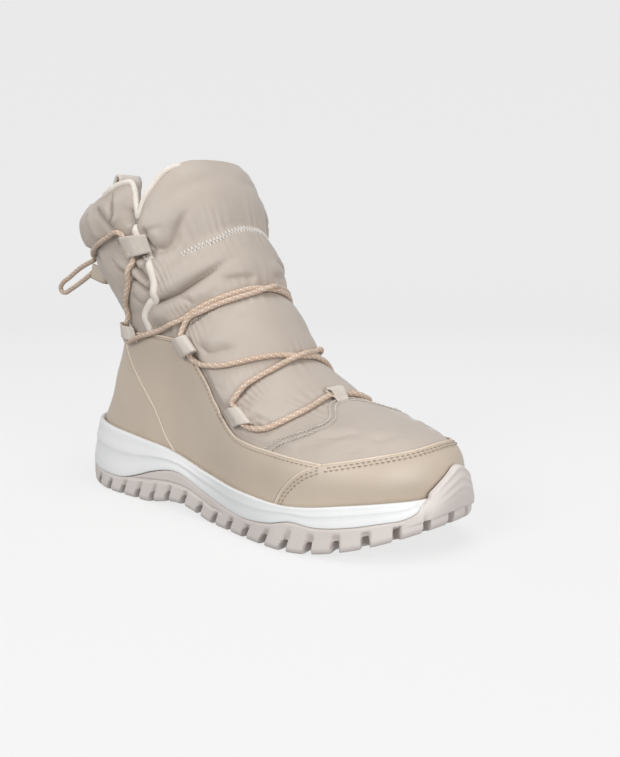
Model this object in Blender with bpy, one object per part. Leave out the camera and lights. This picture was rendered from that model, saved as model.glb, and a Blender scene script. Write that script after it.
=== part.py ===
"""A padded winter boot for the right foot, standing on its sole.

Sizes are millimetres in the last's own axes: x runs from the back of the sole to its toe, y from the outer
side (negative) to the inner side, z up from the floor. MM turns them into Blender's metres.
"""

import bmesh
import bpy
import numpy as np
from mathutils import Vector

MM = 0.001

# Driving sizes
SOLE_LENGTH = 282.0
FRAME_SHIFT_X = -140.0
FRAME_SHIFT_Y = 0.5
TOE_IN = 6.0
TOE_IN_FROM = 120.0
WALL = 4.0
GAP = 0.3
COLUMNS = 48
UPPER_ROWS = 18
FINE = 1500
SPREADS = 400

# Rings of the upper, from the edge inside the sole to the collar. Each runs from a point on the front line
# of the boot to a point on its back line and sags between them. Panel is the share of the ring, from the
# back, where the front panel ends.
RING_COLUMNS = ("front_x", "front_z", "back_x", "back_z", "sag", "panel")
RINGS = {
    "feather": (268.0, 24.0, 15.0, 28.0, 7.0, 0.47),
    "wall": (274.5, 33.0, 11.5, 38.0, 4.0, 0.47),
    "toe_wall": (276.0, 43.0, 13.5, 46.0, 1.0, 0.47),
    "toe_roll": (271.5, 52.0, 20.0, 54.0, 0.0, 0.47),
    "toe_seam": (262.0, 57.5, 25.5, 61.0, 0.0, 0.47),
    "vamp_low": (240.0, 63.0, 30.0, 68.5, 0.0, 0.47),
    "vamp": (216.0, 69.0, 33.5, 77.0, 0.0, 0.47),
    "throat": (199.0, 75.0, 36.0, 85.5, 0.0, 0.47),
    "instep": (182.0, 88.5, 37.0, 94.0, 0.0, 0.47),
    "cross": (172.0, 100.0, 37.5, 103.0, 0.0, 0.47),
    "ankle": (158.0, 118.0, 36.5, 113.5, 0.0, 0.48),
    "shin_lace": (150.5, 130.0, 31.5, 125.0, 0.0, 0.62),
    "shin": (141.5, 148.0, 18.5, 140.0, 0.0, 0.66),
    "stitch": (129.5, 172.0, 7.5, 157.0, 0.0, 0.682),
    "cuff": (120.0, 190.0, 5.5, 173.0, 0.0, 0.68),
    "collar": (110.5, 208.0, 13.5, 185.0, 0.0, 0.68),
}
# The collar's edge: its height by share of the ring from the back. The cuff behind and the panel in front
# meet in a notch at each side.
RIM_COLUMNS = ("along", "z")
RIM = {
    "back": (0.00, 185.0),
    "cuff_rear": (0.30, 183.0),
    "cuff": (0.56, 191.5),
    "cuff_edge": (0.645, 193.0),
    "notch": (0.68, 168.0),
    "panel_1": (0.72, 179.0),
    "panel_2": (0.78, 188.5),
    "panel_3": (0.85, 198.0),
    "panel_4": (0.93, 206.0),
    "front": (1.00, 208.0),
}
RIM_FROM = 11.5
# How far places lean forward at the collar, most at the notch, and the level where it starts
NOTCH_LEAN = 0.109
NOTCH_LEAN_FROM = 13.0

# Half widths of the foot along the boot, and of the shaft by height
FOOT_COLUMNS = ("x", "outer", "inner")
FOOT = {
    "heel_back": (0.0, 35.0, 32.0),
    "heel": (50.0, 36.5, 33.5),
    "heel_front": (80.0, 37.5, 32.5),
    "waist": (118.0, 37.5, 30.5),
    "arch": (150.0, 43.0, 35.0),
    "ball_rear": (180.0, 50.0, 42.5),
    "ball": (205.0, 52.0, 46.5),
    "toe": (285.0, 52.0, 46.5),
}
TOE_ROUND_FROM = 205.0
HEEL_ROUND_FROM = 62.0
TOE_POWER = 2.15
HEEL_POWER = 2.3
WIDEST_Z = 36.0
LOW_LEVELS = 4.5
VAMP_POWER = 2.3
SHAFT_COLUMNS = ("z", "outer", "inner", "power")
SHAFT = {
    "foot": (55.0, 43.0, 39.0, 2.2),
    "ankle": (90.0, 42.0, 40.0, 2.2),
    "lace": (115.0, 43.0, 42.0, 2.1),
    "shin": (145.0, 46.0, 44.5, 2.1),
    "cuff": (178.0, 50.0, 47.5, 2.1),
    "collar": (210.0, 49.0, 46.5, 2.1),
}
SHAFT_FROM_Z = 70.0
SHAFT_FULL_Z = 108.0

# Quilting: rows of stitching across the front panel, by ring number at the centre, and the puff above each
SEAMS = (3.6, 6.9, 8.5, 11.2, 12.9, 15.1)
PUFFS = (1.2, 2.2, 4.0, 4.2, 4.4)
SEAM_DROP_AT = (4.2, 5.75, 9.75, 12.3, 15.0)
SEAM_DROP = (2.5, 3.1, 1.4, 1.0, 0.0)
SEAM_DROP_TURN = 0.35
CUFF_SEAMS = (10.2, 12.7, 15.1)
CUFF_PUFFS = (2.0, 4.0)
PUFF_ROUND = 2.2
PUFF_FADE_UP = 0.75
PUFF_FADE_FORWARD = 0.06
PANEL_FADE = (0.8, 0.22)
CUFF_FADE = (1.0, 0.25)

# Top edge of the leather, from the toe to the back, as share of the ring from the back and ring number
LEATHER_COLUMNS = ("along", "level")
LEATHER_EDGE = {
    "toe_top": (1.00, 3.45),
    "toe_side": (0.96, 3.05),
    "toe_near": (0.89, 2.66),
    "toe_joint": (0.834, 2.40),
    "low_1": (0.788, 2.47),
    "low_2": (0.711, 2.64),
    "low_3": (0.656, 2.85),
    "turn_1": (0.607, 3.30),
    "turn_2": (0.590, 4.30),
    "rise_1": (0.615, 5.45),
    "rise_2": (0.645, 6.70),
    "rise_3": (0.655, 7.70),
    "rise_4": (0.640, 8.60),
    "corner": (0.560, 9.20),
    "side": (0.390, 9.25),
    "counter": (0.215, 9.15),
    "back": (0.00, 9.40),
}
COUNTER_LOW_AT = 0.40
TOE_LOW_AT = 0.745
QUARTER_LOW_STOPS = (0.575, 0.50)
LEATHER = 1.0
LEATHER_LIFT = 1.0
LEATHER_TUCK = 4.0
PANEL_SEAM = 0.0025
QUARTER_LOW_SHARES = (0.0, 0.37, 0.70, 1.0)
LINE_POINTS = 41

# Sole outline, half widths along it, and the lines of its side by height
SOLE_COLUMNS = ("x", "outer", "inner", "rubber_z", "foam_z")
SOLE = {
    "back": (0.0, 42.0, 38.0, 20.0, 45.0),
    "heel_1": (22.0, 42.5, 38.0, 13.5, 44.0),
    "heel_2": (46.0, 43.5, 38.0, 11.5, 42.0),
    "heel_3": (64.0, 44.0, 37.5, 12.0, 40.4),
    "heel_4": (78.0, 44.0, 36.5, 15.5, 39.0),
    "arch_1": (93.0, 44.5, 37.0, 20.3, 37.4),
    "arch_2": (117.0, 45.0, 37.5, 24.3, 33.4),
    "arch_3": (143.0, 47.0, 39.5, 18.0, 29.4),
    "ball_1": (161.0, 50.0, 43.0, 14.0, 27.6),
    "ball_2": (187.0, 55.0, 48.0, 11.5, 25.8),
    "ball_3": (207.0, 57.5, 51.5, 14.0, 24.6),
    "ball_4": (218.0, 57.5, 51.5, 16.6, 24.5),
    "toe_1": (232.0, 57.5, 51.5, 15.6, 25.6),
    "toe_2": (250.0, 57.5, 51.5, 17.6, 28.2),
    "toe_3": (266.0, 57.5, 51.5, 20.8, 30.0),
    "tip": (282.0, 57.5, 51.5, 22.0, 31.0),
}
SOLE_TOE_ROUND_FROM = 205.0
SOLE_HEEL_ROUND_FROM = 58.0
SOLE_TOE_POWER = 2.1
SOLE_HEEL_POWER = 2.3
HEEL_BEVEL = 7.0
HEEL_BEVEL_FROM = 24.0
ARCH_LIFT = 5.0
ARCH_AT = 117.0
ARCH_REACH = 36.0
TOE_SPRING = 17.0
TOE_SPRING_FROM = 214.0
BUMPER_TOP = 46.0
BUMPER_REACH = 0.62
BUMPER_WALL = 3.0
BUMPER_RIB = 0.7
BUMPER_RIBS = 5
BUMPER_BELLY = 1.6
BUMPER_FADE = 0.5
BUMPER_LEAN = 4.0
WALL_FOOT = 3.0
WALL_ROWS = 6
RIM_ROUND = 0.8
RUBBER_WALL = 3.2
TRAY_RISE = 9.0
FOAM_RIM = 2.2
FOAM_LEDGE = 1.2
FOAM_SHOWS = 3.2
LEDGE_AT = 0.38
LEDGE_DROP = 1.0
LEDGE_FLARE = 0.10
BELLY_AT = 0.75
BELLY_OUT = 0.8
CUP_CLEAR = 2.8
LUG_EDGE = 2.4

# Tread
LUGS = 44
LUG_GROOVE = 4.2
LUG_DEPTH = 13.0
LUG_RISE = 6.2
CENTRE_GROOVES = (34.0, 52.0, 70.0, 164.0, 180.0, 196.0, 212.0)
CENTRE_GROOVE = 4.0
CENTRE_MARGIN = 6.0
LUG_LEAN = 1.5
LUG_OVERRUN = 3.0
CUT_BELOW = 6.0

INSOLE_THICK = 5.0
INSOLE_CLEAR = 1.2

# Cord and its keepers. Routes are given on one side, as share of the ring from the back, ring number, and
# height of the cord's centre over the padded upper. Side is 1 on the outer side and -1 on the inner side.
CORD = 3.6
KEEPER_WIDE = 4.6
KEEPER_HIGH = 3.2
KEEPER_WALL = 0.7
KEEPER_ROUND = 0.8
KEEPER_SIDES = 8
ROUTE_COLUMNS = ("along", "level", "lift")
KEEPERS = {
    "lower": ((0.652, 4.30, 4.4), (0.675, 4.85, 4.5), (0.705, 5.50, 4.4)),
    "middle": ((0.682, 8.20, 5.2), (0.690, 8.65, 5.2), (0.702, 9.10, 5.0)),
    "rear": ((0.262, 8.95, 6.0), (0.270, 9.45, 5.8), (0.285, 10.00, 5.4)),
    "collar": ((0.605, 12.45, 5.4), (0.602, 12.75, 5.6), (0.585, 13.05, 5.4)),
}
THROAT_RUN = (
    (0.664, 4.60, 4.5),
    (0.652, 4.22, 4.4),
    (0.683, 4.12, 4.0),
    (0.740, 4.62, 3.8),
    (0.800, 5.11, 3.8),
    (0.860, 5.55, 3.8),
    (0.920, 5.99, 3.8),
    (0.965, 6.42, 3.8),
    (0.990, 6.80, 4.5),
    (1.000, 6.95, 4.7),
)
CROSS_LOW_RUN = (
    (0.690, 5.20, 4.4),
    (0.725, 5.80, 4.2),
    (0.775, 6.40, 3.9),
    (0.825, 6.93, 3.7),
    (0.882, 7.45, 3.9),
    (0.935, 7.80, 4.0),
    (0.970, 8.10, 4.1),
    (0.992, 8.35, 4.3),
)
CROSS_AT = (1.0, 8.52, 4.5)
CROSS_HIGH_RUN = (
    (0.990, 8.68, 4.1),
    (0.958, 8.76, 3.9),
    (0.915, 8.66, 3.9),
    (0.870, 8.48, 3.9),
    (0.820, 8.28, 3.9),
    (0.770, 8.05, 4.1),
    (0.722, 7.82, 4.5),
    (0.690, 7.96, 4.9),
    (0.684, 8.40, 5.1),
)
DOUBLE_LOW_RUN = (
    (0.696, 8.90, 5.2),
    (0.706, 9.35, 4.9),
    (0.735, 9.72, 4.5),
    (0.803, 10.12, 4.2),
    (0.870, 10.45, 4.1),
    (0.930, 10.75, 4.5),
    (0.975, 10.98, 5.0),
)
DOUBLE_AT = (1.0, 11.20, 5.3)
DOUBLE_HIGH_RUN = (
    (0.975, 11.36, 4.9),
    (0.930, 11.18, 4.4),
    (0.870, 10.86, 4.1),
    (0.803, 10.50, 4.2),
    (0.737, 10.16, 4.3),
    (0.660, 9.86, 4.3),
    (0.585, 9.62, 4.5),
    (0.520, 9.42, 4.9),
    (0.455, 9.22, 5.3),
    (0.390, 9.00, 5.5),
    (0.330, 8.76, 5.7),
    (0.285, 8.62, 6.1),
    (0.263, 8.85, 6.3),
    (0.265, 9.20, 6.2),
)
SIDE_RUN = (
    (0.276, 9.70, 5.5),
    (0.300, 10.30, 4.7),
    (0.360, 10.85, 4.3),
    (0.430, 11.35, 4.3),
    (0.505, 11.80, 4.3),
    (0.570, 12.10, 4.9),
    (0.605, 12.40, 5.5),
    (0.604, 12.60, 5.6),
)
COLLAR_RUN = (
    (0.598, 12.90, 5.9),
    (0.580, 13.18, 5.6),
    (0.540, 13.22, 4.8),
    (0.480, 13.08, 4.2),
    (0.410, 12.90, 3.8),
    (0.340, 12.76, 3.6),
    (0.270, 12.70, 3.6),
    (0.190, 12.70, 3.6),
    (0.110, 12.70, 3.6),
    (0.050, 12.70, 3.6),
    (0.012, 12.70, 3.6),
)
COLLAR_BACK = (0.0, 12.70, 3.6)
BIGHT = (
    (11.5, -24.0, 149.5),
    (-4.5, -24.5, 144.0),
    (-18.2, -24.5, 137.3),
    (-28.0, -24.0, 132.0),
    (-31.5, -23.5, 128.7),
    (-28.0, -23.0, 127.0),
    (-19.0, -23.0, 129.3),
    (-8.5, -23.0, 133.5),
    (1.5, -23.0, 138.0),
    (12.5, -23.0, 143.5),
)
THROAT_KEEPER_HALF = 7.0

BINDING = 5.0
BINDING_ROUTE = (
    (0.475, 9.95, 3.8),
    (0.480, 10.25, 4.2),
    (0.530, 10.58, 4.5),
    (0.605, 11.00, 4.2),
    (0.645, 11.40, 4.2),
    (0.662, 11.75, 4.2),
    (0.668, 12.05, 4.2),
)

# Leather trim at the back: the pull loop over the collar, and the folded tab that holds the slack cord
LOOP_WIDE = 20.0
LOOP_STRAP = 1.6
LOOP_COLUMNS = ("x", "z")
LOOP = (
    (-1.6, 163.0),
    (-2.4, 172.0),
    (0.6, 180.0),
    (6.0, 188.0),
    (10.5, 196.5),
    (14.5, 201.5),
    (18.5, 202.5),
    (21.8, 199.0),
    (23.0, 192.0),
    (22.8, 183.0),
)
TAB_AT = (7.0, -18.5, 139.5)
TAB_SIZE = (14.0, 4.0, 12.0)
TAB_ROUND = 1.2

COLOURS = {
    "rubber": (0.63, 0.57, 0.53),
    "foam": (0.82, 0.83, 0.83),
    "nylon": (0.57, 0.51, 0.45),
    "leather": (0.52, 0.43, 0.35),
    "fleece": (0.79, 0.74, 0.67),
    "cord": (0.64, 0.42, 0.28),
    "webbing": (0.62, 0.56, 0.52),
}


def column(table, names, name):
    """One named column of a table, as an array."""
    place = names.index(name)
    rows = table.values() if isinstance(table, dict) else table
    return np.array([row[place] for row in rows], float)


def smooth(at, keys, values):
    """A cubic through a table's values, held at its two ends."""
    keys = np.asarray(keys, float)
    values = np.asarray(values, float)
    slopes = np.gradient(values, keys)
    at = np.clip(np.asarray(at, float), keys[0], keys[-1])
    i = np.clip(np.searchsorted(keys, at) - 1, 0, len(keys) - 2)
    span = keys[i + 1] - keys[i]
    t = (at - keys[i]) / span
    start = (1 + 2 * t) * (1 - t) ** 2 * values[i] + t * (1 - t) ** 2 * span * slopes[i]
    end = t**2 * (3 - 2 * t) * values[i + 1] + t**2 * (t - 1) * span * slopes[i + 1]
    return start + end


def ease(t):
    """A soft step from 0 to 1."""
    t = np.clip(t, 0.0, 1.0)
    return t * t * (3 - 2 * t)


def rounded(t, power):
    """The half width of a rounded end, from 1 at t 0 to 0 at t 1."""
    return (1 - np.clip(t, 0.0, 1.0) ** power) ** (1 / power)


def ring(level, name):
    """One named column of the rings table at any level between two rings."""
    return smooth(level, np.arange(len(RINGS)), column(RINGS, RING_COLUMNS, name))


LEVELS = np.linspace(0, len(RINGS) - 1, 900)
FRONT_X = ring(LEVELS, "front_x")
FRONT_Z = ring(LEVELS, "front_z")
BACK_X = ring(LEVELS, "back_x")
BACK_Z = ring(LEVELS, "back_z")
TOE_END = int(np.argmax(FRONT_X))


def front_at(z):
    """Where the boot's front line stands at a height."""
    return np.interp(z, FRONT_Z, FRONT_X)


def back_at(z):
    """Where the boot's back line stands at a height."""
    return np.interp(z, BACK_Z, BACK_X)


def top_at(x):
    """The height of the boot's front line over a point of the foot."""
    return np.interp(x, FRONT_X[TOE_END:][::-1], FRONT_Z[TOE_END:][::-1])


def centre_y(x):
    """The last's curve towards the inner side at the toe."""
    return TOE_IN * np.clip((x - TOE_IN_FROM) / (SOLE_LENGTH - TOE_IN_FROM), 0, 1) ** 2


def half_width(inner, x, z):
    """Half the boot's width at a point of its side view, on the outer or the inner side."""
    foot_x = column(FOOT, FOOT_COLUMNS, "x")
    shaft_z = column(SHAFT, SHAFT_COLUMNS, "z")
    wide = np.where(
        inner,
        smooth(x, foot_x, column(FOOT, FOOT_COLUMNS, "inner")),
        smooth(x, foot_x, column(FOOT, FOOT_COLUMNS, "outer")),
    )
    toe_x = np.where(z < FRONT_Z[TOE_END], front_at(z), FRONT_X[TOE_END])
    toe = rounded((x - TOE_ROUND_FROM) / (toe_x - TOE_ROUND_FROM), TOE_POWER)
    heel = rounded((HEEL_ROUND_FROM - x) / (HEEL_ROUND_FROM - back_at(z)), HEEL_POWER)
    rise = (z - WIDEST_Z) / np.maximum(top_at(x) - WIDEST_Z, 1.0)
    foot = wide * toe * heel * rounded(rise, VAMP_POWER)
    power = smooth(z, shaft_z, column(SHAFT, SHAFT_COLUMNS, "power"))
    around = np.where(
        inner,
        smooth(z, shaft_z, column(SHAFT, SHAFT_COLUMNS, "inner")),
        smooth(z, shaft_z, column(SHAFT, SHAFT_COLUMNS, "outer")),
    )
    middle = (front_at(z) + back_at(z)) / 2
    reach = (front_at(z) - back_at(z)) / 2
    shaft = around * rounded(np.abs(x - middle) / reach, power)
    share = ease((z - SHAFT_FROM_Z) / (SHAFT_FULL_Z - SHAFT_FROM_Z))
    return foot + (shaft - foot) * share


def even_spread(line_x, line_y, count):
    """The x of points spread evenly along a line, as shares of it from its first end."""
    steps = np.hypot(np.diff(line_x), np.diff(line_y))
    length = np.concatenate([[0.0], np.cumsum(steps)])
    return np.interp(np.linspace(0, length[-1], count), length, line_x)


SIDE_TURN = np.linspace(0, np.pi, FINE)
SPREAD_Z = 40.0
SPREAD_X = back_at(SPREAD_Z) + (front_at(SPREAD_Z) - back_at(SPREAD_Z)) * (1 + np.cos(SIDE_TURN)) / 2
SPREAD = even_spread(SPREAD_X, half_width(np.zeros(FINE, bool), SPREAD_X, np.full(FINE, SPREAD_Z)), SPREADS)
SPREAD = (SPREAD - SPREAD[-1]) / (SPREAD[0] - SPREAD[-1])
SPREAD_AT = np.linspace(0, 1, SPREADS)


def along_at(around):
    """Share of a ring from the back, for a place around it: 0 front, 1 back, minus on the inner side."""
    turn = np.abs(np.mod(np.asarray(around, float) + 1, 2) - 1)
    return np.interp(turn, SPREAD_AT, SPREAD)


def around_at(along):
    """The place around a ring for a share of it from the back, on the outer side."""
    return np.interp(along, SPREAD[::-1], SPREAD_AT[::-1])


def form_point(around, level):
    """A point of the smooth boot form, without quilting, at a place around it and a level up it."""
    around = np.asarray(around, float)
    level = np.asarray(level, float)
    inner = np.mod(around, 2) > 1
    share = along_at(around)
    notch = RIM["notch"][0]
    lean = NOTCH_LEAN * np.clip((level - NOTCH_LEAN_FROM) / (len(RINGS) - 1 - NOTCH_LEAN_FROM), 0, 1)
    along = share + lean * np.where(share < notch, (share / notch) ** 2, (1 - share) / (1 - notch))
    x = ring(level, "back_x") + along * (ring(level, "front_x") - ring(level, "back_x"))
    z = ring(level, "back_z") + along * (ring(level, "front_z") - ring(level, "back_z"))
    z = z - ring(level, "sag") * np.sin(np.pi * along**1.6)
    straight = RINGS["collar"][3] + along * (RINGS["collar"][1] - RINGS["collar"][3])
    edge = np.interp(share, column(RIM, RIM_COLUMNS, "along"), column(RIM, RIM_COLUMNS, "z"))
    z = z + (edge - straight) * ease((level - RIM_FROM) / (len(RINGS) - 1 - RIM_FROM))
    y = centre_y(x) + np.where(inner, 1.0, -1.0) * half_width(inner, x, z)
    return np.stack([x, y, z], axis=-1)


def form_normal(around, level):
    """The outward direction of the smooth form."""
    step_a, step_l = 0.004, 0.03
    top = len(RINGS) - 1
    low = np.clip(np.asarray(level, float) - step_l, 0, top)
    high = np.clip(np.asarray(level, float) + step_l, 0, top)
    across = form_point(np.asarray(around) + step_a, level) - form_point(np.asarray(around) - step_a, level)
    up = form_point(around, high) - form_point(around, low)
    out = np.cross(up, across)
    return out / np.maximum(np.linalg.norm(out, axis=-1, keepdims=True), 1e-9)


def bulge(level, seams, heights):
    """The height of a quilted puff between two rows of stitching, at a level."""
    found = np.zeros_like(level)
    for low, high, height in zip(seams[:-1], seams[1:], heights):
        share = (level - low) / (high - low)
        puff = height * (1 - np.abs(2 * share - 1) ** PUFF_ROUND)
        found = np.where((share >= 0) & (share < 1), puff, found)
    return found


def quilting(around, level):
    """How far the padded cloth stands out from the smooth form."""
    around, level = np.broadcast_arrays(np.asarray(around, float), np.asarray(level, float))
    turn = np.abs(np.mod(around + 1, 2) - 1)
    share = turn / around_at(ring(level, "panel"))
    drop = smooth(level, SEAM_DROP_AT, SEAM_DROP) * (turn / SEAM_DROP_TURN) ** 1.3
    front = bulge(level + drop, SEAMS, PUFFS) * (1 - ease((share - PANEL_FADE[0]) / PANEL_FADE[1]))
    rear = bulge(level, CUFF_SEAMS, CUFF_PUFFS) * ease((share - CUFF_FADE[0]) / CUFF_FADE[1])
    return np.maximum(front, rear) * clear_of_leather(along_at(around), level)


def clear_of_leather(along, level):
    """0 under the leather and 1 a little way out from its edge."""
    names = list(LEATHER_EDGE)
    edge_along = column(LEATHER_EDGE, LEATHER_COLUMNS, "along")
    edge_level = column(LEATHER_EDGE, LEATHER_COLUMNS, "level")
    foot = slice(names.index("turn_2"), None, -1)
    front = slice(names.index("turn_2"), names.index("corner") + 1)
    low = np.interp(along, edge_along[foot], edge_level[foot])
    rise = np.interp(level, edge_level[front], edge_along[front])
    over = ease((level - low - 0.1) / PUFF_FADE_UP)
    before = ease((along - rise - 0.01) / PUFF_FADE_FORWARD)
    above = ease((level - edge_level[names.index("corner")] - 0.15) / PUFF_FADE_UP)
    return over * np.maximum(before, above)


def skin_point(around, level, lift=0.0):
    """A point over the padded upper, at a height above its outer face."""
    out = quilting(around, level) + lift
    return form_point(around, level) + form_normal(around, level) * out[..., None]


def shell_point(around, level, lift):
    """A point over the smooth form, at a height above it."""
    return form_point(around, level) + form_normal(around, level) * np.asarray(lift, float)[..., None]


def form_at_height(around, z, lift):
    """The smooth form's point at a height above the floor, low on its wall, moved outward by a lift."""
    around = np.asarray(around, float)
    levels = np.linspace(0, LOW_LEVELS, 150)
    everywhere, level = np.broadcast_arrays(around[None, :], levels[:, None])
    stack = shell_point(everywhere, level, np.full(level.shape, float(lift)))
    plan = [
        [np.interp(z[i], stack[:, i, 2], stack[:, i, axis]) for axis in (0, 1)]
        for i in range(len(around))
    ]
    return with_z(np.array(plan), z)


def sole_half(inner, x):
    """Half the sole's width along it."""
    keys = column(SOLE, SOLE_COLUMNS, "x")
    wide = np.where(
        inner,
        smooth(x, keys, column(SOLE, SOLE_COLUMNS, "inner")),
        smooth(x, keys, column(SOLE, SOLE_COLUMNS, "outer")),
    )
    toe = rounded((x - SOLE_TOE_ROUND_FROM) / (SOLE_LENGTH - SOLE_TOE_ROUND_FROM), SOLE_TOE_POWER)
    heel = rounded((SOLE_HEEL_ROUND_FROM - x) / SOLE_HEEL_ROUND_FROM, SOLE_HEEL_POWER)
    return wide * toe * heel


SOLE_TURN_X = SOLE_LENGTH * (1 + np.cos(SIDE_TURN)) / 2
SOLE_SPREAD = even_spread(SOLE_TURN_X, sole_half(np.zeros(FINE, bool), SOLE_TURN_X), SPREADS)


def outline(around, inset=0.0):
    """The sole's outline in plan, moved inward by an inset."""
    def at(place):
        turn = np.abs(np.mod(place + 1, 2) - 1)
        inner = np.mod(place, 2) > 1
        x = np.interp(turn, SPREAD_AT, SOLE_SPREAD)
        y = centre_y(x) + np.where(inner, 1.0, -1.0) * sole_half(inner, x)
        return np.stack([x, y], axis=-1)

    around = np.asarray(around, float)
    along = at(around + 0.004) - at(around - 0.004)
    along /= np.linalg.norm(along, axis=-1, keepdims=True)
    inward = np.stack([along[..., 1], -along[..., 0]], axis=-1)
    return at(around) + inward * np.asarray(inset, float)[..., None]


def ground(x):
    """The height of the tread above the floor: heel bevel, arch and toe spring, and 0 where it stands."""
    bevel = HEEL_BEVEL * np.clip((HEEL_BEVEL_FROM - x) / HEEL_BEVEL_FROM, 0, 1) ** 1.6
    arch = ARCH_LIFT * (1 - ease(np.abs(x - ARCH_AT) / ARCH_REACH))
    spring = TOE_SPRING * np.clip((x - TOE_SPRING_FROM) / (SOLE_LENGTH - TOE_SPRING_FROM), 0, 1) ** 1.8
    return bevel + arch + spring


def bumper(around):
    """How much of the toe bumper stands at a place around the sole, 1 at the tip."""
    x = outline(around)[..., 0]
    inner = np.mod(around, 2) > 1
    share = sole_half(inner, x) / np.where(inner, SOLE["tip"][2], SOLE["tip"][1])
    return np.where(x > SOLE_TOE_ROUND_FROM, 1 - ease(share / BUMPER_REACH), 0.0)


def side_line(around, name):
    """The height of a named line of the sole's side."""
    x = outline(around)[..., 0]
    return smooth(x, column(SOLE, SOLE_COLUMNS, "x"), column(SOLE, SOLE_COLUMNS, name))


def rubber_line(around):
    """The top of the rubber, which rises over the toe."""
    return side_line(around, "rubber_z") + (BUMPER_TOP - SOLE["tip"][3]) * bumper(around)


def with_z(plan, z):
    """Points in plan given a height."""
    return np.concatenate([plan, np.broadcast_to(z, plan.shape[:-1])[..., None]], axis=-1)


# Blender objects
MATERIALS = {}
ROOT = None
AXIS_X = np.array([1.0, 0.0])
AXIS_Y = np.array([0.0, 1.0])


def material(name):
    """One Principled material for each kind of stuff."""
    if name not in MATERIALS:
        made = bpy.data.materials.new(name)
        made.use_nodes = True
        shader = made.node_tree.nodes["Principled BSDF"]
        shader.inputs["Base Color"].default_value = (*COLOURS[name], 1.0)
        shader.inputs["Roughness"].default_value = 0.6
        made.diffuse_color = (*COLOURS[name], 1.0)
        MATERIALS[name] = made
    return MATERIALS[name]


def node(name, bm, stuff):
    """A mesh object of the boot, from a bmesh in millimetres."""
    bmesh.ops.scale(bm, vec=(MM, MM, MM), verts=bm.verts)
    mesh = bpy.data.meshes.new(name)
    bm.to_mesh(mesh)
    bm.free()
    made = bpy.data.objects.new(name, mesh)
    made.data.materials.append(material(stuff))
    bpy.context.scene.collection.objects.link(made)
    made.parent = ROOT
    return made


def grid(columns, rows, place, closed=False):
    """A grid of quads laid on a surface: place takes shares across and up, and gives points."""
    bm = bmesh.new()
    bmesh.ops.create_grid(bm, x_segments=columns, y_segments=rows, size=0.5)
    verts = list(bm.verts)
    shares = np.array([(v.co.x + 0.5, v.co.y + 0.5) for v in verts])
    if closed:
        shares[:, 0] = np.where(shares[:, 0] > 1 - 1e-6, 0.0, shares[:, 0])
    for vert, point in zip(verts, place(shares[:, 0], shares[:, 1])):
        vert.co = Vector(point)
    if closed:
        bmesh.ops.remove_doubles(bm, verts=bm.verts, dist=1e-3)
    bmesh.ops.reverse_faces(bm, faces=bm.faces)
    return bm


def thicken(obj, thickness):
    """Gives a sheet its thickness, inward from its face."""
    solid = obj.modifiers.new("wall", "SOLIDIFY")
    solid.thickness = thickness * MM
    solid.offset = -1.0
    solid.use_even_offset = False
    return obj


def stacked(loops):
    """A closed body from loops of equal count, one over the other, closed across the first and the last."""
    bm = bmesh.new()
    rings = [[bm.verts.new(Vector(point)) for point in loop] for loop in loops]
    count = len(rings[0])
    for low, high in zip(rings[:-1], rings[1:]):
        for i in range(count):
            j = (i + 1) % count
            bm.faces.new((low[i], low[j], high[j], high[i]))
    half = count // 2
    for loop in (rings[0], rings[-1]):
        for i in range(half):
            corners = [loop[i], loop[i + 1], loop[(count - i - 1) % count], loop[(count - i) % count]]
            unique = list(dict.fromkeys(corners))
            bm.faces.new(unique)
    bmesh.ops.recalc_face_normals(bm, faces=bm.faces)
    return bm


def around_columns():
    """Places around the boot, one for each column, from the toe round by the outer side."""
    return np.arange(COLUMNS) * 2.0 / COLUMNS


def make_upper():
    """The padded upper: one hollow body, open at the collar and underneath."""
    top = len(RINGS) - 1
    bm = grid(COLUMNS, UPPER_ROWS, lambda a, v: skin_point(a * 2.0, v * top), closed=True)
    return thicken(node("upper", bm, "nylon"), WALL)


def make_midsole():
    """The foam cup that closes the upper underneath."""
    a = around_columns()
    foam_z = side_line(a, "foam_z")
    behind = rubber_line(a) > foam_z - FOAM_SHOWS
    cover = (behind | np.roll(behind, 1) | np.roll(behind, -1)).astype(float)
    rubber_z = np.minimum(rubber_line(a), foam_z - FOAM_SHOWS) + 2 * GAP
    feather = form_point(a, np.zeros(COLUMNS))
    inset = np.full(COLUMNS, RUBBER_WALL + GAP)
    tray = outline(a, inset)
    floor_z = ground(tray[:, 0]) + TRAY_RISE + GAP
    low = form_at_height(a, feather[:, 2] - GAP, CUP_CLEAR)
    lining = []
    for share in (0.5, 1.0):
        height = low[:, 2] + (foam_z - low[:, 2]) * share
        lining.append(form_at_height(a, height, CUP_CLEAR))
    rim = form_at_height(a, foam_z, CUP_CLEAR + FOAM_RIM)
    hidden = with_z(tray, foam_z)
    rim = rim + (hidden - rim) * cover[:, None]
    edge = with_z(outline(a, (RUBBER_WALL + GAP) * cover), rubber_z)
    shoulder = rim + (edge - rim) * LEDGE_AT
    ledge = shoulder.copy()
    ledge[:, :2] += (edge - rim)[:, :2] * LEDGE_FLARE
    grow = FOAM_LEDGE * (1 - cover)
    out = outline(a, -np.ones(COLUMNS)) - outline(a, np.zeros(COLUMNS))
    ledge[:, :2] += out * grow[:, None]
    ledge[:, 2] -= LEDGE_DROP
    belly = rim + (edge - rim) * BELLY_AT
    belly[:, :2] += out * (BELLY_OUT * (1 - cover))[:, None]
    step = with_z(tray, rubber_z - 2 * GAP * cover)
    bottom = with_z(tray, floor_z)
    return node("midsole", stacked([low, *lining, rim, shoulder, ledge, belly, edge, step, bottom]), "foam")


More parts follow.
